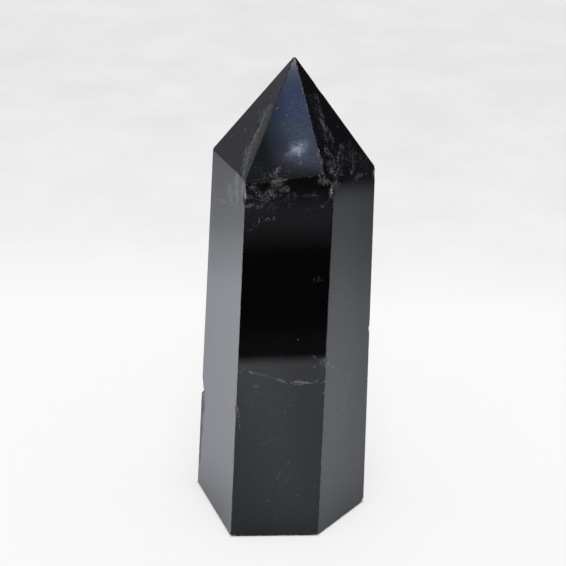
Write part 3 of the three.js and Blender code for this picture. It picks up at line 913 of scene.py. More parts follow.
# Bright single flecks just under a facet: place and size.
sparks = {
    "frontPoint": [
        (-3.0, -5.1, 91.4, 0.12), (-1.1, -5.7, 90.3, 0.12), (1.9, -8.4, 85.6, 0.12),
        (5.1, -9.0, 84.7, 0.1), (-0.9, -9.4, 83.9, 0.11), (1.6, -10.1, 82.7, 0.14),
        (5.5, -10.1, 82.8, 0.13), (-2.7, -10.8, 81.6, 0.16), (-3.0, -11.2, 80.9, 0.13),
        (-3.7, -11.5, 80.5, 0.11), (-1.9, -11.7, 80.1, 0.12), (5.4, -10.8, 81.5, 0.11),
        (5.2, -11.3, 80.7, 0.15),
    ],
    "front": [
        (-1.6, -11.8, 79.0, 0.13), (-7.2, -12.2, 78.2, 0.12), (-3.7, -12.0, 77.6, 0.13),
        (-6.3, -12.2, 77.2, 0.11), (-4.0, -12.0, 77.1, 0.11), (-5.7, -12.2, 76.8, 0.11),
        (-3.6, -12.0, 76.7, 0.12), (-7.5, -12.4, 74.8, 0.12), (5.8, -11.5, 74.5, 0.11),
        (-3.1, -12.2, 71.8, 0.14), (-5.8, -12.4, 71.1, 0.11), (-5.2, -12.4, 72.2, 0.1),
        (-4.5, -12.3, 71.7, 0.1), (6.0, -12.2, 59.6, 0.11), (5.1, -12.3, 59.4, 0.11),
        (2.4, -13.1, 46.2, 0.12), (5.7, -13.1, 40.1, 0.11), (-6.7, -14.0, 38.9, 0.12),
        (-0.5, -13.7, 37.0, 0.12), (3.1, -13.5, 36.8, 0.11), (3.7, -13.4, 36.6, 0.12),
        (4.5, -13.4, 36.5, 0.1), (8.1, -13.2, 36.7, 0.11), (7.8, -13.3, 34.2, 0.13),
        (-2.7, -15.2, 8.7, 0.12), (6.5, -11.2, 79.3, 0.14), (6.1, -11.3, 78.7, 0.11),
        (7.0, -11.2, 78.9, 0.11),
    ],
    "leftPoint": [
        (-4.2, -1.7, 92.4, 0.13), (-4.1, -4.1, 91.0, 0.11), (-6.4, -1.3, 89.2, 0.12),
        (-5.7, -2.3, 89.8, 0.11), (-8.8, -1.3, 85.4, 0.11), (-10.3, -1.7, 82.9, 0.1),
        (-6.9, -4.0, 86.8, 0.08), (-7.3, -4.2, 85.9, 0.08), (-7.7, -4.4, 85.3, 0.08),
        (-8.1, -4.7, 84.4, 0.08), (-8.6, -5.0, 83.5, 0.08), (-8.7, -5.7, 82.9, 0.08),
        (-9.0, -7.0, 81.7, 0.08), (-9.2, -8.2, 80.5, 0.08),
    ],
    "rightPoint": [
        (5.5, -3.3, 89.5, 0.11), (5.9, -4.2, 88.1, 0.13), (8.7, -2.0, 86.9, 0.11),
        (7.3, -4.1, 86.4, 0.12), (7.4, -4.8, 85.7, 0.11), (6.4, -5.9, 85.8, 0.11),
        (9.3, -4.0, 84.0, 0.12), (9.7, -4.0, 83.4, 0.11), (6.3, -7.7, 84.1, 0.13),
        (12.6, -2.2, 81.7, 0.11), (9.0, -5.4, 83.0, 0.11), (8.8, -6.3, 82.3, 0.11),
        (8.0, -7.4, 82.1, 0.11), (9.0, -6.6, 81.7, 0.11), (11.8, -4.2, 80.7, 0.11),
        (12.0, -4.8, 79.8, 0.16), (11.6, -5.8, 79.2, 0.16), (8.7, -8.5, 80.2, 0.12),
        (8.4, -9.2, 79.9, 0.19), (7.3, -9.7, 80.7, 0.15), (6.7, -9.8, 81.3, 0.12),
        (7.9, -8.9, 80.8, 0.12),
    ],
    "left": [
        (-10.2, -8.0, 78.0, 0.11), (-8.7, -11.6, 77.1, 0.11), (-8.7, -11.7, 76.4, 0.11),
        (-10.8, -7.3, 73.1, 0.1), (-10.4, -12.8, 28.8, 0.19), (-10.9, -11.6, 28.4, 0.11),
        (-9.9, -13.9, 28.9, 0.12), (-12.1, -3.8, 75.8, 0.1), (-14.7, 1.6, 69.6, 0.1),
    ],
    "right": [
        (8.6, -10.6, 78.9, 0.12), (8.0, -11.5, 77.2, 0.12), (12.7, -5.6, 77.3, 0.11),
        (8.4, -12.5, 40.7, 0.17), (8.9, -11.9, 40.0, 0.13), (9.8, -10.9, 39.1, 0.1),
    ],
}

# How every veil is scattered. Lengths are millimetres.
veilLook = {
    "flakes": 300,  # to a square millimetre at full strength
    "corners": (1.1, 0.7, 0.95, 0.8, 1.15),  # reach of a flake's five corners
    "sizes": (0.02, 0.085),
    "sizePower": 3,
    "clear": 0.5,  # how far below its spot a flake lies, as a share of its size
    "turn": 0.45,
    "loose": 1.8,  # how far inwards the flakes of a sheet stray, as a share of its depth
    "strayPower": 1.7,
    "strayShare": 0.6,  # of that, by chance alone
    "lumpShare": 0.8,  # and in soft lumps
    "lumps": 0.9,
    "lumpSpan": (0.38, 0.62),
    "patchRoughness": 0.6,
    "softness": 0.26,  # how gently a patch begins
    "lace": 2.3,  # how much finer the wisps are than the patches
    "laceWidth": 0.16,
    "laceShares": (1.3, 0.45),  # share of the flakes on a wisp and between wisps
    "crumbs": 4,
    "crumbSpan": (0.35, 0.65),
    "crumbShares": (0.2, 1.8),
    "straySeed": 500,  # added to a sheet's seed, so that straying isn't tied to size
    "margin": 0.07,  # nothing of a veil comes nearer to a facet
}
sheetLook = {
    "grid": 22,
    "rim": 0.7,
    "wave": 0.05,
    "waveRoom": 0.4,  # a shallow sheet waves by no more than this share of its depth
    "waveScale": 2.4,
    "waveSeed": 3.7,
}
crackLook = {
    "grid": (8, 5),  # faces between two points, and down into the stone
    "ends": 6,
    "step": 0.02,
    "wobble": 0.12,
    "wobbleScale": 9,
    "wobbleSeed": 2.3,
    "clear": 0.01,
    "lean": 0.3,
    "loose": 0.3,
}
scarFrost = {
    "grid": (60, 10),
    "depth": 0.075,
    "strength": 1.0,
    "bare": 0.34,
    "patch": 0.4,
    "lip": (1.2, 3),  # how pale the outer lip is, and how fast that fails towards the ridge
    "ridgeFade": 12,
    "topFade": (2.2, 1.6),  # full low on the scar, and thinner from three quarters up
}
sparkLook = {"seed": 5, "tilt": 0.35, "narrowest": 0.6}
firstSeed = 10


def facetFrame(name):
    place, normal = planes[name]
    across = up.cross(normal).normalized()
    return place, normal, across, normal.cross(across)


def ontoFacet(name, spot):
    place, normal = planes[name]
    spot = Vector(spot)
    return spot - normal * (spot - place).dot(normal)


def newGrid(columns, rows):
    deselectAll()
    bpy.ops.mesh.primitive_grid_add(
        x_subdivisions=columns, y_subdivisions=rows, size=1, location=(0, 0, 0)
    )
    sheet = bpy.context.object
    return sheet, sheet.data.attributes.new("fade", "FLOAT", "POINT")


def trimInside(sheet):
    makeActive(sheet)
    bpy.ops.object.mode_set(mode="EDIT")
    for place, normal in list(planes.values()) + [floorPlane]:
        bisectAt(place - normal * veilLook["margin"], normal, fill=False)
    bpy.ops.object.mode_set(mode="OBJECT")


def makeVeilSheet(facet, at, size, spin, depth, seed):
    _, normal, across, rise = facetFrame(facet)
    look = sheetLook
    sheet, fade = newGrid(look["grid"], look["grid"])
    wave = min(look["wave"], look["waveRoom"] * (depth - veilLook["margin"]))
    close = look["waveScale"]
    for vertex in sheet.data.vertices:
        x, y = vertex.co.x, vertex.co.y
        fade.data[vertex.index].value = max(0, 1 - 4 * (x * x + y * y)) ** look["rim"]
        ripple = Vector((x * close, y * close, seed * look["waveSeed"]))
        vertex.co.z = wave * noise.noise(ripple)
    frameTurn = Matrix((across, rise, normal)).transposed().to_4x4()
    place = Matrix.Translation(ontoFacet(facet, at) - normal * depth)
    lie = frameTurn @ Matrix.Rotation(math.radians(spin), 4, "Z") @ Matrix.Diagonal((*size, 1, 1))
    sheet.data.transform(place @ lie)
    trimInside(sheet)
    return sheet


def alongLine(points, share):
    # a smooth line through the points
    spot = share * (len(points) - 1)
    i = min(int(spot), len(points) - 2)
    t = spot - i
    a, b, c, d = (points[max(0, min(len(points) - 1, i + k))] for k in (-1, 0, 1, 2))
    return 0.5 * (2 * b + (c - a) * t + (2 * a - 5 * b + 4 * c - d) * t * t
                  + (3 * b - a - 3 * c + d) * t * t * t)


def makeCrackSheet(facet, points, width, depth, seed):
    # strongest along its line right under the facet, and gone at its lower rim
    look = crackLook
    _, normal, _, _ = facetFrame(facet)
    points = [ontoFacet(facet, p) for p in points]
    long, deep = look["grid"]
    sheet, fade = newGrid(long * (len(points) - 1), deep)
    for vertex in sheet.data.vertices:
        share, dip = vertex.co.x + 0.5, vertex.co.y + 0.5
        ends = min(1, look["ends"] * share, look["ends"] * (1 - share))
        fade.data[vertex.index].value = (1 - dip) * ends
        spot = alongLine(points, share)
        ahead, behind = min(1, share + look["step"]), max(0, share - look["step"])
        along = alongLine(points, ahead) - alongLine(points, behind)
        aside = normal.cross(along).normalized()
        bend = Vector((share * look["wobbleScale"], seed * look["wobbleSeed"], 0))
        wobble = look["wobble"] * noise.noise(bend)
        down = veilLook["margin"] + look["clear"] + dip * depth
        vertex.co = spot + aside * (wobble + width * (dip - look["lean"])) - normal * down
    trimInside(sheet)
    return sheet


def makeScarSheet():
    # crushed stone right under the floor of the long scar, palest at its outer lip
    (pale, power), (start, fall) = scarFrost["lip"], scarFrost["topFade"]
    sheet, fade = newGrid(*scarFrost["grid"])
    for vertex in sheet.data.vertices:
        along, out = vertex.co.x + 0.5, vertex.co.y + 0.5
        spot, normal, _ = scarSpot(along, out)
        inner = scarFrost["ridgeFade"] * out
        fade.data[vertex.index].value = pale * out ** power * min(1, inner, start - fall * along)
        vertex.co = spot - normal * scarFrost["depth"]
    trimInside(sheet)
    return sheet


def makeFlake():
    deselectAll()
    bpy.ops.mesh.primitive_circle_add(vertices=5, radius=1, fill_type="NGON", location=(0, 0, 0))
    flake = bpy.context.object
    flake.name = "veilFlake"
    for vertex, reach in zip(flake.data.vertices, veilLook["corners"]):
        vertex.co *= reach
    return flake


def newVector(nodes, operation):
    node = nodes.new("ShaderNodeVectorMath")
    node.operation = operation
    return node


def newChance(nodes, links, kind, seed):
    node = nodes.new("FunctionNodeRandomValue")
    node.data_type = kind
    links.new(seed, node.inputs["Seed"])
    return node


def sheetNoise(nodes, links, position, scale, detail):
    node = nodes.new("ShaderNodeTexNoise")
    node.inputs["Detail"].default_value = detail
    links.new(position, node.inputs["Vector"])
    if isinstance(scale, (int, float)):
        node.inputs["Scale"].default_value = scale
    else:
        links.new(scale, node.inputs["Scale"])
    return node


def makeScatterTree():
    look = veilLook
    tree = bpy.data.node_groups.new("veilScatter", "GeometryNodeTree")
    sockets = tree.interface
    sockets.new_socket("Geometry", in_out="OUTPUT", socket_type="NodeSocketGeometry")
    for name, kind in (
        ("Geometry", "Geometry"), ("Density", "Float"), ("Bare", "Float"), ("Patch", "Float"),
        ("Inward", "Vector"), ("Seed", "Int"), ("Flake", "Object"), ("Finish", "Material"),
    ):
        sockets.new_socket(name, in_out="INPUT", socket_type="NodeSocket" + kind)
    nodes, links = tree.nodes, tree.links
    given = nodes.new("NodeGroupInput").outputs
    position = nodes.new("GeometryNodeInputPosition").outputs["Position"]

    # patchy cover that thins towards the sheet's rim
    scale = combine(nodes, links, "DIVIDE", 1.0, given["Patch"])
    patches = sheetNoise(nodes, links, position, scale, 4)
    patches.inputs["Roughness"].default_value = look["patchRoughness"]
    cover = nodes.new("ShaderNodeMapRange")
    links.new(patches.outputs["Fac"], cover.inputs["Value"])
    links.new(given["Bare"], cover.inputs["From Min"])
    full = combine(nodes, links, "ADD", given["Bare"], look["softness"])
    links.new(full, cover.inputs["From Max"])
    fade = nodes.new("GeometryNodeInputNamedAttribute")
    fade.data_type = "FLOAT"
    fade.inputs["Name"].default_value = "fade"
    rim = fade.outputs["Attribute"]
    amount = combine(nodes, links, "MULTIPLY", cover.outputs["Result"], rim)

    # drawn out into wisps, and crumbled
    scale = combine(nodes, links, "DIVIDE", look["lace"], given["Patch"])
    lace = sheetNoise(nodes, links, position, scale, 2)
    off = combine(nodes, links, "SUBTRACT", lace.outputs["Fac"], 0.5)
    off = combine(nodes, links, "ABSOLUTE", off, 0)
    wisps = remap(nodes, links, off, 0.0, look["laceWidth"], *look["laceShares"])
    amount = combine(nodes, links, "MULTIPLY", amount, wisps)
    grain = sheetNoise(nodes, links, position, look["crumbs"], 1)
    crumbs = remap(nodes, links, grain.outputs["Fac"], *look["crumbSpan"], *look["crumbShares"])
    amount = combine(nodes, links, "MULTIPLY", amount, crumbs)
    amount = combine(nodes, links, "MULTIPLY", amount, given["Density"])

    spread = nodes.new("GeometryNodeDistributePointsOnFaces")
    links.new(given["Geometry"], spread.inputs["Mesh"])
    links.new(amount, spread.inputs["Density"])
    links.new(given["Seed"], spread.inputs["Seed"])

    tumble = newChance(nodes, links, "FLOAT_VECTOR", given["Seed"])
    turn = look["turn"]
    tumble.inputs["Min"].default_value = (-turn, -turn, -math.pi)
    tumble.inputs["Max"].default_value = (turn, turn, math.pi)
    asTurn = nodes.new("FunctionNodeEulerToRotation")
    links.new(tumble.outputs["Value"], asTurn.inputs["Euler"])
    turned = nodes.new("FunctionNodeRotateRotation")
    turned.rotation_space = "LOCAL"
    links.new(spread.outputs["Rotation"], turned.inputs["Rotation"])
    links.new(asTurn.outputs["Rotation"], turned.inputs["Rotate By"])

    # most flakes are small, a few are large
    sizes = newChance(nodes, links, "FLOAT", given["Seed"])
    small, large = look["sizes"]
    size = combine(nodes, links, "POWER", sizes.outputs[1], look["sizePower"])
    size = combine(nodes, links, "MULTIPLY", size, large - small)
    size = combine(nodes, links, "ADD", size, small)

    # they stray inwards, in soft lumps, and a large one keeps clear of the facet
    otherSeed = combine(nodes, links, "ADD", given["Seed"], look["straySeed"])
    stray = newChance(nodes, links, "FLOAT", otherSeed)
    cloud = sheetNoise(nodes, links, position, look["lumps"], 2)
    lump = remap(nodes, links, cloud.outputs["Fac"], *look["lumpSpan"], 0, 1)
    lump = combine(nodes, links, "MULTIPLY", lump, look["lumpShare"])
    loose = combine(nodes, links, "POWER", stray.outputs[1], look["strayPower"])
    loose = combine(nodes, links, "MULTIPLY", loose, look["strayShare"])
    inward = newVector(nodes, "SCALE")
    links.new(given["Inward"], inward.inputs[0])
    links.new(combine(nodes, links, "ADD", lump, loose), inward.inputs["Scale"])
    straight = newVector(nodes, "NORMALIZE")
    links.new(given["Inward"], straight.inputs[0])
    clear = newVector(nodes, "SCALE")
    links.new(straight.outputs["Vector"], clear.inputs[0])
    links.new(combine(nodes, links, "MULTIPLY", size, look["clear"]), clear.inputs["Scale"])
    shift = newVector(nodes, "ADD")
    links.new(inward.outputs["Vector"], shift.inputs[0])
    links.new(clear.outputs["Vector"], shift.inputs[1])
    astray = nodes.new("GeometryNodeSetPosition")
    links.new(spread.outputs["Points"], astray.inputs["Geometry"])
    links.new(shift.outputs["Vector"], astray.inputs["Offset"])

    flake = nodes.new("GeometryNodeObjectInfo")
    links.new(given["Flake"], flake.inputs["Object"])
    place = nodes.new("GeometryNodeInstanceOnPoints")
    links.new(astray.outputs["Geometry"], place.inputs["Points"])
    links.new(flake.outputs["Geometry"], place.inputs["Instance"])
    links.new(turned.outputs["Rotation"], place.inputs["Rotation"])
    links.new(size, place.inputs["Scale"])
    real = nodes.new("GeometryNodeRealizeInstances")
    links.new(place.outputs["Instances"], real.inputs["Geometry"])
    dress = nodes.new("GeometryNodeSetMaterial")
    links.new(real.outputs["Geometry"], dress.inputs["Geometry"])
    links.new(given["Finish"], dress.inputs["Material"])
    links.new(dress.outputs["Geometry"], nodes.new("NodeGroupOutput").inputs["Geometry"])
    return tree


def scatterOn(sheet, flake, tree, inward, strength, bare, patch, seed, finish):
    spread = sheet.modifiers.new("scatter", "NODES")
    spread.node_group = tree
    values = {
        "Density": veilLook["flakes"] * strength, "Bare": bare, "Patch": patch, "Inward": inward,
        "Seed": seed, "Flake": flake, "Finish": finish,
    }
    for item in tree.interface.items_tree:
        if item.in_out == "INPUT" and item.name in values:
            spread[item.identifier] = values[item.name]
    made = sheet.evaluated_get(bpy.context.evaluated_depsgraph_get())
    if not made.data.polygons:  # the sheet lies too near an edge to keep any flake
        print("no flakes at", seed)
        removePiece(sheet)
        return []
    applyModifiers(sheet)
    return [sheet]


def joinPieces(parts, name):
    deselectAll()
    for part in parts:
        part.select_set(True)
    bpy.context.view_layer.objects.active = parts[0]
    if len(parts) > 1:
        bpy.ops.object.join()
    parts[0].name = name
    return parts[0]


def makeSparks(flake):
    draw = random.Random(sparkLook["seed"])
    tilt = sparkLook["tilt"]
    flecks = []
    for facet, rows in sparks.items():
        _, normal, across, rise = facetFrame(facet)
        lie = Matrix((across, rise, normal)).transposed().to_4x4()
        for *at, size in rows:
            fleck = flake.copy()
            fleck.data = flake.data.copy()
            scene.collection.objects.link(fleck)
            tip = Matrix.Rotation(draw.uniform(-tilt, tilt), 4, "X")
            tip = tip @ Matrix.Rotation(draw.uniform(0, fullTurn), 4, "Z")
            spot = ontoFacet(facet, at) - normal * (veilLook["margin"] + 0.5 * size)
            narrow = size * draw.uniform(sparkLook["narrowest"], 1)
            grown = Matrix.Diagonal((size, narrow, size, 1))
            fleck.data.transform(Matrix.Translation(spot) @ lie @ tip @ grown)
            fleck.data.materials.append(veilFinishes["pale"])
            flecks.append(fleck)
    return joinPieces(flecks, "sparks")


def makeInclusions():
    flake = makeFlake()
    tree = makeScatterTree()
    seed = firstSeed
    made = []
    for name, facets in veils.items():
        parts = []
        for facet, rows in facets:
            for at, size, spin, depth, strength, bare, patch, *paint in rows:
                seed += 1
                sheet = makeVeilSheet(facet, at, size, spin, depth, seed)
                inward = planes[facet][1] * (-veilLook["loose"] * depth)
                finish = veilFinishes[paint[0] if paint else "pale"]
                parts += scatterOn(sheet, flake, tree, inward, strength, bare, patch, seed, finish)
        made.append(joinPieces(parts, name))

    parts = []
    pale = veilFinishes["pale"]
    for facet, rows in cracks:
        for points, width, depth, strength, bare, patch in rows:
            seed += 1
            sheet = makeCrackSheet(facet, points, width, depth, seed)
            inward = planes[facet][1] * (-crackLook["loose"] * depth)
            parts += scatterOn(sheet, flake, tree, inward, strength, bare, patch, seed, pale)
    frost = makeScarSheet()
    inward = planes["leftPoint"][1] * -scarFrost["depth"]
    strength, bare, patch = (scarFrost[name] for name in ("strength", "bare", "patch"))
    parts += scatterOn(frost, flake, tree, inward, strength, bare, patch, seed + 1, pale)
    made.append(joinPieces(parts, "cracks"))
    made.append(makeSparks(flake))
    removePiece(flake)
    for piece in made:
        finishPiece(piece)
        print(piece.name, len(piece.data.polygons), "flake faces")


makeInclusions()


# The cloth under the stone. It glows as well as being lit, and painted shade is cut out of that
# glow by the base and behind the stone. Spans are metres, tones and shares are parts of one.
floorLook = {
    "size": 9.0,
    "tone": 0.1167,
    "far": (0.086, 0.286),  # where the tone begins and ends to fall behind the stone
    "farFade": (
        (0.02, 1.0), (0.075, 0.975), (0.13, 0.957), (0.165, 0.94), (0.195, 0.926),
        (0.265, 0.912), (0.35, 0.893), (0.525, 0.872), (0.655, 0.86), (0.8, 0.85), (0.95, 0.84),
    ),
    "drift": (9, 2, 0.5),
    "driftReach": 0.012,
    "cloth": (34, 4, 0.55),
    "clothSpan": (0.3, 0.7),
    "clothTone": 0.03,
    "clothStart": 0.3,  # share of the way to the far end at which it is full
    # painted light: the cloth glows though it is no lamp, and its glow carries the painted shade
    # below
    "glow": 6.5,  # times its tone, which keeps the shading by the base faint
    "contactSpan": (-0.001, 0.011),  # from within the base's outline to well out of it
    # painted contact shade: the glow is gone within the base's outline and comes back just out of
    # it
    "contact": (  # how much of the glow is left over that span
        (0.05, 0.0), (0.1, 0.84), (0.14, 0.93), (0.2, 0.95), (0.33, 0.975), (0.6, 0.992),
        (1.0, 1.0),
    ),
    # the painted contact shade is lighter in front of the base
    "frontSpan": (-0.013, 0.008),
    "frontLift": 0.72,  # share of the loss that is made good in front of the base
    "outline": (-0.0002, 0.0003),  # from just within the base's outline to just out of it
    # a painted shadow behind the stone, cut out of the cloth's glow
    "shadow": 0.085,  # share of the glow lost behind the stone
    "shadowSide": (0.016, 0.027),
    "shadowStart": (-0.004, 0.012),
    "shadowEnd": (0.022, 0.08),
}


def glowWithPaintedShade(nodes, links, here, axes):
    # painted contact shade: the glow fails right by the base, and less so in front of it
    look = floorLook
    away = None
    for name in order:
        _, normal = planes[name]
        _, _, reach = crystalCut["sides"][name]
        facing = Vector((normal.x, normal.y, 0)).normalized()
        dot = nodes.new("ShaderNodeVectorMath")
        dot.operation = "DOT_PRODUCT"
        dot.inputs[1].default_value = facing
        links.new(here, dot.inputs[0])
        offset = (reach + facing.dot(baseMiddle)) * millimetre
        span = combine(nodes, links, "SUBTRACT", dot.outputs["Value"], offset)
        away = combine(nodes, links, "MAXIMUM", away, span) if away else span
    near = remap(nodes, links, away, *look["contactSpan"], 0, 1)
    share = rampOf(nodes, links, near, look["contact"])
    inFront = remap(nodes, links, axes.outputs["Y"], *look["frontSpan"], look["frontLift"], 0)
    outside = remap(nodes, links, away, *look["outline"], 0, 1)
    lift = combine(nodes, links, "MULTIPLY", inFront, outside)
    lost = combine(nodes, links, "SUBTRACT", 1.0, share)
    share = combine(nodes, links, "ADD", share, combine(nodes, links, "MULTIPLY", lost, lift))

    # a faint painted shadow is cut out of the cloth's glow behind the stone
    aside = combine(nodes, links, "ABSOLUTE", axes.outputs["X"], 0)
    shadow = remap(nodes, links, aside, *look["shadowSide"], look["shadow"], 0)
    behind = remap(nodes, links, axes.outputs["Y"], *look["shadowStart"], 0, 1)
    ends = remap(nodes, links, axes.outputs["Y"], *look["shadowEnd"], 1, 0)
    shadow = combine(nodes, links, "MULTIPLY", shadow, behind)
    shadow = combine(nodes, links, "MULTIPLY", shadow, ends)
    share = combine(nodes, links, "SUBTRACT", share, shadow)
    return combine(nodes, links, "MULTIPLY", share, look["glow"])


def makeFloor():
    look = floorLook
    deselectAll()
    bpy.ops.mesh.primitive_plane_add(size=look["size"], location=(0, 0, 0))
    floor = bpy.context.object
    floor.name = "floor"
    finish, nodes, links = newFinish("paleCloth")
    here = nodes.new("ShaderNodeTexCoord").outputs["Object"]
    axes = nodes.new("ShaderNodeSeparateXYZ")
    links.new(here, axes.inputs["Vector"])
    drift = noiseAt(nodes, links, here, *look["drift"])
    drift = combine(nodes, links, "MULTIPLY", drift, look["driftReach"])
    edge = combine(nodes, links, "ADD", axes.outputs["Y"], drift)
    span = remap(nodes, links, edge, *look["far"], 0, 1)
    fade = rampOf(nodes, links, span, look["farFade"])
    weave = noiseAt(nodes, links, here, *look["cloth"])
    high = look["clothTone"]
    weave = remap(nodes, links, weave, *look["clothSpan"], -high, high)
    far = remap(nodes, links, span, 0, look["clothStart"], 0, 1)
    share = combine(nodes, links, "ADD", fade, combine(nodes, links, "MULTIPLY", weave, far))
    tone = combine(nodes, links, "MULTIPLY", share, look["tone"])
    cloth = nodes["Principled BSDF"]
    links.new(tone, cloth.inputs["Base Color"])
    cloth.inputs["Roughness"].default_value = 1.0
    cloth.inputs["Specular IOR Level"].default_value = 0.0
    links.new(tone, cloth.inputs["Emission Color"])
    # the cloth's glow carries the painted shade by the base and the painted shadow behind it
    links.new(glowWithPaintedShade(nodes, links, here, axes), cloth.inputs["Emission Strength"])
    floor.data.materials.append(finish)
    floor.visible_glossy = False


def glossOnly(card):
    for way in ("camera", "diffuse", "transmission", "volume_scatter", "shadow"):
        setattr(card, "visible_" + way, False)


def glowFinish(name):
    finish, nodes, links = newFinish(name)
    nodes.remove(nodes["Principled BSDF"])
    glow = nodes.new("ShaderNodeEmission")
    links.new(glow.outputs["Emission"], nodes["Material Output"].inputs["Surface"])
    return finish, nodes, links, glow


def blendOf(nodes, links, factor, first, second):
    node = nodes.new("ShaderNodeMix")
    links.new(factor, node.inputs["Factor"])
    links.new(first, node.inputs["A"])
    links.new(second, node.inputs["B"])
    return node.outputs["Result"]


# What the polished sides mirror: a card that glows only in reflections, a painted reflection of a
# pool of light on the table, with painted shade close round the base and a painted dark strip
# before it. Each span is in metres and each pair of shares is at its two ends. The stops are parts
# of the pool's reach from the middle, of the reach to the right and of the strip's width.
tableLight = {
    "height": -0.0006,
    "colour": (0.97, 1.0, 1.08, 1),
    "strength": 2.0,
    "poolReach": 0.4,
    # painted shade close round the base, rising to the painted pool of light
    "pool": (
        (0.025, 0.2), (0.037, 0.31), (0.045, 0.41), (0.055, 0.497), (0.07, 0.58),
        (0.0975, 0.64), (0.13, 0.665), (0.167, 0.69), (0.205, 0.705), (0.262, 0.725),
        (0.289, 0.715), (0.325, 0.61), (0.36, 0.525), (0.395, 0.425), (0.425, 0.4),
        (0.455, 0.375), (0.5, 0.34), (0.625, 0.2), (1.0, 0.15),
    ),
    "leftSpan": (-0.0255, -0.0145),
    "leftShares": (1.07, 0.93),
    "rightReach": 0.25,
    "right": (
        (0.24, 0.84), (0.3, 0.81), (0.36, 0.78), (0.4, 0.73), (0.46, 0.7), (0.56, 0.72),
        (0.62, 0.82), (0.72, 0.8), (0.752, 0.63), (0.776, 0.38), (0.792, 0.2), (0.808, 0.15),
    ),
    "rightSlant": 0.28,
    "rightSpan": (-0.016, -0.008),
    "rightShares": (1.13, 0.88),
    "frontSpan": (-0.09, -0.02),
    "frontShares": (0.67, 0.58),
    "frontMiddle": 0.004,
    "rimSpan": (0.002, 0.011),
    "rimShares": (1.08, 0.9),
    "leftToRight": (-0.02, 0.012),
    "sideToFront": (-0.0145, -0.0175),
    "stripSpan": (-0.1, -0.26),
    "stripEdge": (-0.0988, -0.1043),
    "strip": (
        (0.03, 0.085), (0.09, 0.075), (0.14, 0.05), (0.2, 0.035), (0.42, 0.035), (0.5, 0.05),
        (0.54, 0.11), (0.66, 0.25), (0.74, 0.25), (0.8, 0.14), (0.86, 0.08), (0.93, 0.07),
    ),
}


def makePaintedTableReflection():
    look = tableLight
    deselectAll()
    # a glowing card seen only in reflections, which paints the table's reflection
    bpy.ops.mesh.primitive_plane_add(size=floorLook["size"], location=(0, 0, look["height"]))
    card = bpy.context.object
    card.name = "tableGloss"
    glossOnly(card)
    finish, nodes, links, glow = glowFinish("tableGlow")
    here = nodes.new("ShaderNodeTexCoord").outputs["Object"]
    axes = nodes.new("ShaderNodeSeparateXYZ")
    links.new(here, axes.inputs["Vector"])
    across, away = axes.outputs["X"], axes.outputs["Y"]
    reach = nodes.new("ShaderNodeVectorMath")
    reach.operation = "LENGTH"
    links.new(here, reach.inputs[0])
    span = remap(nodes, links, reach.outputs["Value"], 0, look["poolReach"], 0, 1)
    pool = rampOf(nodes, links, span, look["pool"])

    # the left, right and front sides mirror it a little differently
    slant = combine(nodes, links, "ADD", across, away)
    left = remap(nodes, links, slant, *look["leftSpan"], *look["leftShares"])

    span = remap(nodes, links, across, 0, look["rightReach"], 0, 1)
    right = rampOf(nodes, links, span, look["right"])
    slant = combine(nodes, links, "MULTIPLY", across, look["rightSlant"])
    slant = combine(nodes, links, "SUBTRACT", away, slant)
    edge = remap(nodes, links, slant, *look["rightSpan"], *look["rightShares"])
    right = combine(nodes, links, "MULTIPLY", right, edge)

    front = remap(nodes, links, away, *look["frontSpan"], *look["frontShares"])
    off = combine(nodes, links, "SUBTRACT", across, look["frontMiddle"])
    off = combine(nodes, links, "ABSOLUTE", off, 0)
    rim = remap(nodes, links, off, *look["rimSpan"], *look["rimShares"])
    front = combine(nodes, links, "MULTIPLY", front, rim)

    toRight = remap(nodes, links, across, *look["leftToRight"], 0, 1)
    toFront = remap(nodes, links, away, *look["sideToFront"], 0, 1)
    share = blendOf(nodes, links, toRight, left, right)
    share = blendOf(nodes, links, toFront, share, front)
    lit = combine(nodes, links, "MULTIPLY", pool, share)
    lit = combine(nodes, links, "MULTIPLY", lit, look["strength"])
    # the painted dark strip in front of the pool
    span = remap(nodes, links, away, *look["stripSpan"], 0, 1)
    dark = rampOf(nodes, links, span, look["strip"])
    inStrip = remap(nodes, links, away, *look["stripEdge"], 0, 1)
    links.new(blendOf(nodes, links, inStrip, lit, dark), glow.inputs["Strength"])
    glow.inputs["Color"].default_value = look["colour"]
    card.data.materials.append(finish)


def noiseVector(nodes, links, here, ragged):
    # the place, shifted about by noise
    scale, detail, amount = ragged
    noise = nodes.new("ShaderNodeTexNoise")
    noise.inputs["Scale"].default_value = scale
    noise.inputs["Detail"].default_value = detail
    links.new(here, noise.inputs["Vector"])
    shift = nodes.new("ShaderNodeVectorMath")
    shift.operation = "MULTIPLY_ADD"
    links.new(noise.outputs["Color"], shift.inputs[0])
    shift.inputs[1].default_value = (amount, amount, 0)
    shift.inputs[2].default_value = (-amount / 2, -amount / 2, 0)
    moved = nodes.new("ShaderNodeVectorMath")
    links.new(here, moved.inputs[0])
    links.new(shift.outputs["Vector"], moved.inputs[1])
    return moved.outputs["Vector"]


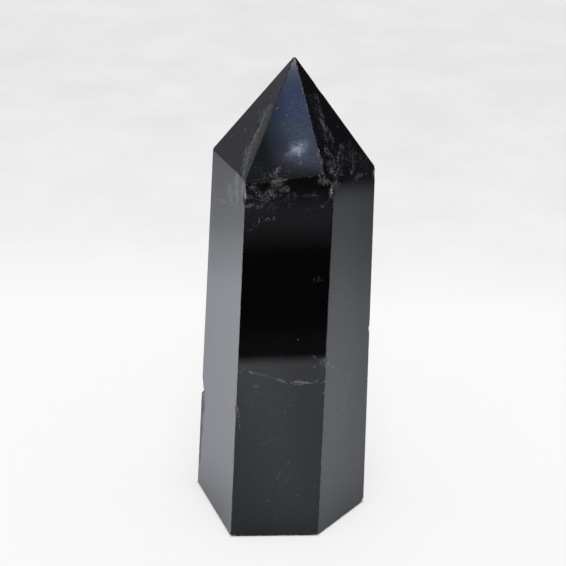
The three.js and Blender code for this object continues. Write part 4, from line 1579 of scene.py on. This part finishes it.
# A cool window high in front, mirrored by the front facet of the point, with a lamp in it.
# Lengths on the card are metres across and up from its middle.
windowLight = {
    "place": (-0.0196, -1.1802, 1.0218),
    "facing": (-0.0132, -0.7814, 0.6239),
    "across": (0.9998, -0.006, 0.0137),
    "size": (1.1, 0.8, 1),
    "strength": 4.0,
    "slant": 0.22,
    "leftTone": (0.06, 0.065, 0.075),
    "leftEdge": (-0.036, 0.002),
    "riseSpan": (-0.08, 0.08),
    "rise": (  # up the card, from its dark foot to the bright strip at its top
        (0.1, (0.06, 0.06, 0.08)), (0.16, (0.14, 0.14, 0.19)), (0.2, (0.22, 0.24, 0.34)),
        (0.24, (0.28, 0.32, 0.46)), (0.35, (0.22, 0.28, 0.42)), (0.45, (0.25, 0.34, 0.5)),
        (0.56, (0.2, 0.27, 0.52)), (0.75, (0.2, 0.28, 0.52)), (0.81, (0.26, 0.34, 0.55)),
        (0.86, (0.33, 0.41, 0.62)), (0.905, (0.5, 0.55, 0.67)), (0.945, (0.98, 1.0, 0.93)),
    ),
    "lamp": (1.85, 2.12, 2.75),
    "lampPlace": (0.009, -0.0305, 0),
    "lampSize": (0.021, 0.0105, 1),
    "lampTurn": 40,
    "ragged": (240, 3, 0.024),  # scale, detail and reach of the noise that frays its image
}


def makeWindowCard():
    look = windowLight
    deselectAll()
    bpy.ops.mesh.primitive_plane_add(size=1, location=(0, 0, 0))
    card = bpy.context.object
    card.name = "windowCard"
    glossOnly(card)
    facing, across = Vector(look["facing"]), Vector(look["across"])
    turn = Matrix((across, facing.cross(across), facing)).transposed().to_4x4()
    size = Matrix.Diagonal((*look["size"], 1))
    card.matrix_world = Matrix.Translation(look["place"]) @ turn @ size
    finish, nodes, links, glow = glowFinish("windowGlow")
    metres = nodes.new("ShaderNodeMapping")
    metres.inputs["Scale"].default_value = look["size"]
    links.new(nodes.new("ShaderNodeTexCoord").outputs["Object"], metres.inputs["Vector"])
    here = metres.outputs["Vector"]
    axes = nodes.new("ShaderNodeSeparateXYZ")
    links.new(here, axes.inputs["Vector"])
    aslant = combine(nodes, links, "MULTIPLY", axes.outputs["Y"], look["slant"])
    aslant = combine(nodes, links, "ADD", axes.outputs["X"], aslant)
    shade = remap(nodes, links, aslant, *look["leftEdge"], 0, 1)
    rise = remap(nodes, links, axes.outputs["Y"], *look["riseSpan"], 0, 1)
    cool = rampOf(nodes, links, rise, look["rise"])
    colour = mixColour(nodes, links, shade, look["leftTone"], cool)

    image = nodes.new("ShaderNodeMapping")
    image.vector_type = "TEXTURE"
    image.inputs["Location"].default_value = look["lampPlace"]
    image.inputs["Rotation"].default_value = (0, 0, math.radians(look["lampTurn"]))
    image.inputs["Scale"].default_value = look["lampSize"]
    links.new(noiseVector(nodes, links, here, look["ragged"]), image.inputs["Vector"])
    lamp = nodes.new("ShaderNodeTexGradient")
    lamp.gradient_type = "QUADRATIC_SPHERE"
    links.new(image.outputs["Vector"], lamp.inputs["Vector"])
    lit = mixColour(nodes, links, lamp.outputs["Fac"], colour, look["lamp"])
    links.new(lit, glow.inputs["Color"])
    glow.inputs["Strength"].default_value = look["strength"]
    card.data.materials.append(finish)


# The room around, as each kind of ray finds it.
skyLook = {
    "seen": (0.94, 0.94, 0.94),
    "light": (1.6, 1.6, 1.6),
    "inside": (1.3, 1.3, 1.3),  # what reaches the flakes within the stone
    "room": (  # what the polish mirrors, from level to straight up
        (0.0, (0.38, 0.38, 0.42)), (0.09, (0.35, 0.35, 0.4)), (0.12, (0.4, 0.4, 0.46)),
        (0.15, (0.6, 0.6, 0.66)), (0.2, (0.36, 0.36, 0.38)), (0.27, (0.08, 0.08, 0.1)),
        (0.42, (0.09, 0.09, 0.11)), (0.55, (0.55, 0.66, 0.95)), (0.75, (0.8, 0.92, 1.0)),
        (1.0, (1.0, 1.0, 1.0)),
    ),
}


def makeSky():
    look = skyLook
    world = bpy.data.worlds.new("studioSky")
    scene.world = world
    world.use_nodes = True
    nodes, links = world.node_tree.nodes, world.node_tree.links
    rays = nodes.new("ShaderNodeLightPath").outputs
    axes = nodes.new("ShaderNodeSeparateXYZ")
    links.new(nodes.new("ShaderNodeTexCoord").outputs["Generated"], axes.inputs["Vector"])
    room = rampOf(nodes, links, axes.outputs["Z"], look["room"])
    colour = mixColour(nodes, links, rays["Is Camera Ray"], look["light"], look["seen"])
    colour = mixColour(nodes, links, rays["Is Glossy Ray"], colour, room)
    colour = mixColour(nodes, links, rays["Is Transmission Ray"], colour, look["inside"])
    links.new(colour, nodes["Background"].inputs["Color"])


softBox = {"place": (-0.25, -0.15, 1.3), "aim": (0, 0, 0.04), "size": 1.1, "power": 3.0}


def makeLamp():
    lamp = bpy.data.lights.new("softBox", "AREA")
    lamp.size = softBox["size"]
    lamp.energy = softBox["power"]
    holder = bpy.data.objects.new("softBox", lamp)
    scene.collection.objects.link(holder)
    holder.location = softBox["place"]
    aim = Vector(softBox["aim"]) - holder.location
    holder.rotation_euler = aim.to_track_quat("-Z", "Y").to_euler()


view = {
    "lens": 95.68,
    "target": (-0.000645, -0.00017, 0.05176),
    "distance": 0.304,
    "elevation": 28.0,
    "roll": 1.7,
    "sensor": 36,
    "clip": (0.01, 20),
}


def makeCamera():
    camera = bpy.data.cameras.new("camera")
    holder = bpy.data.objects.new("camera", camera)
    scene.collection.objects.link(holder)
    camera.lens = view["lens"]
    camera.sensor_width = view["sensor"]
    camera.clip_start, camera.clip_end = view["clip"]
    rise = math.radians(view["elevation"])
    back = Vector((0, -math.cos(rise), math.sin(rise)))
    holder.location = Vector(view["target"]) + back * view["distance"]
    level = (-back).to_track_quat("-Z", "Y")
    holder.rotation_mode = "QUATERNION"
    holder.rotation_quaternion = level @ Quaternion((0, 0, 1), math.radians(view["roll"]))
    scene.camera = holder


makeFloor()
makePaintedTableReflection()
makeWindowCard()
makeSky()
makeLamp()
makeCamera()
scene.view_settings.view_transform = "Standard"
print("studio set")
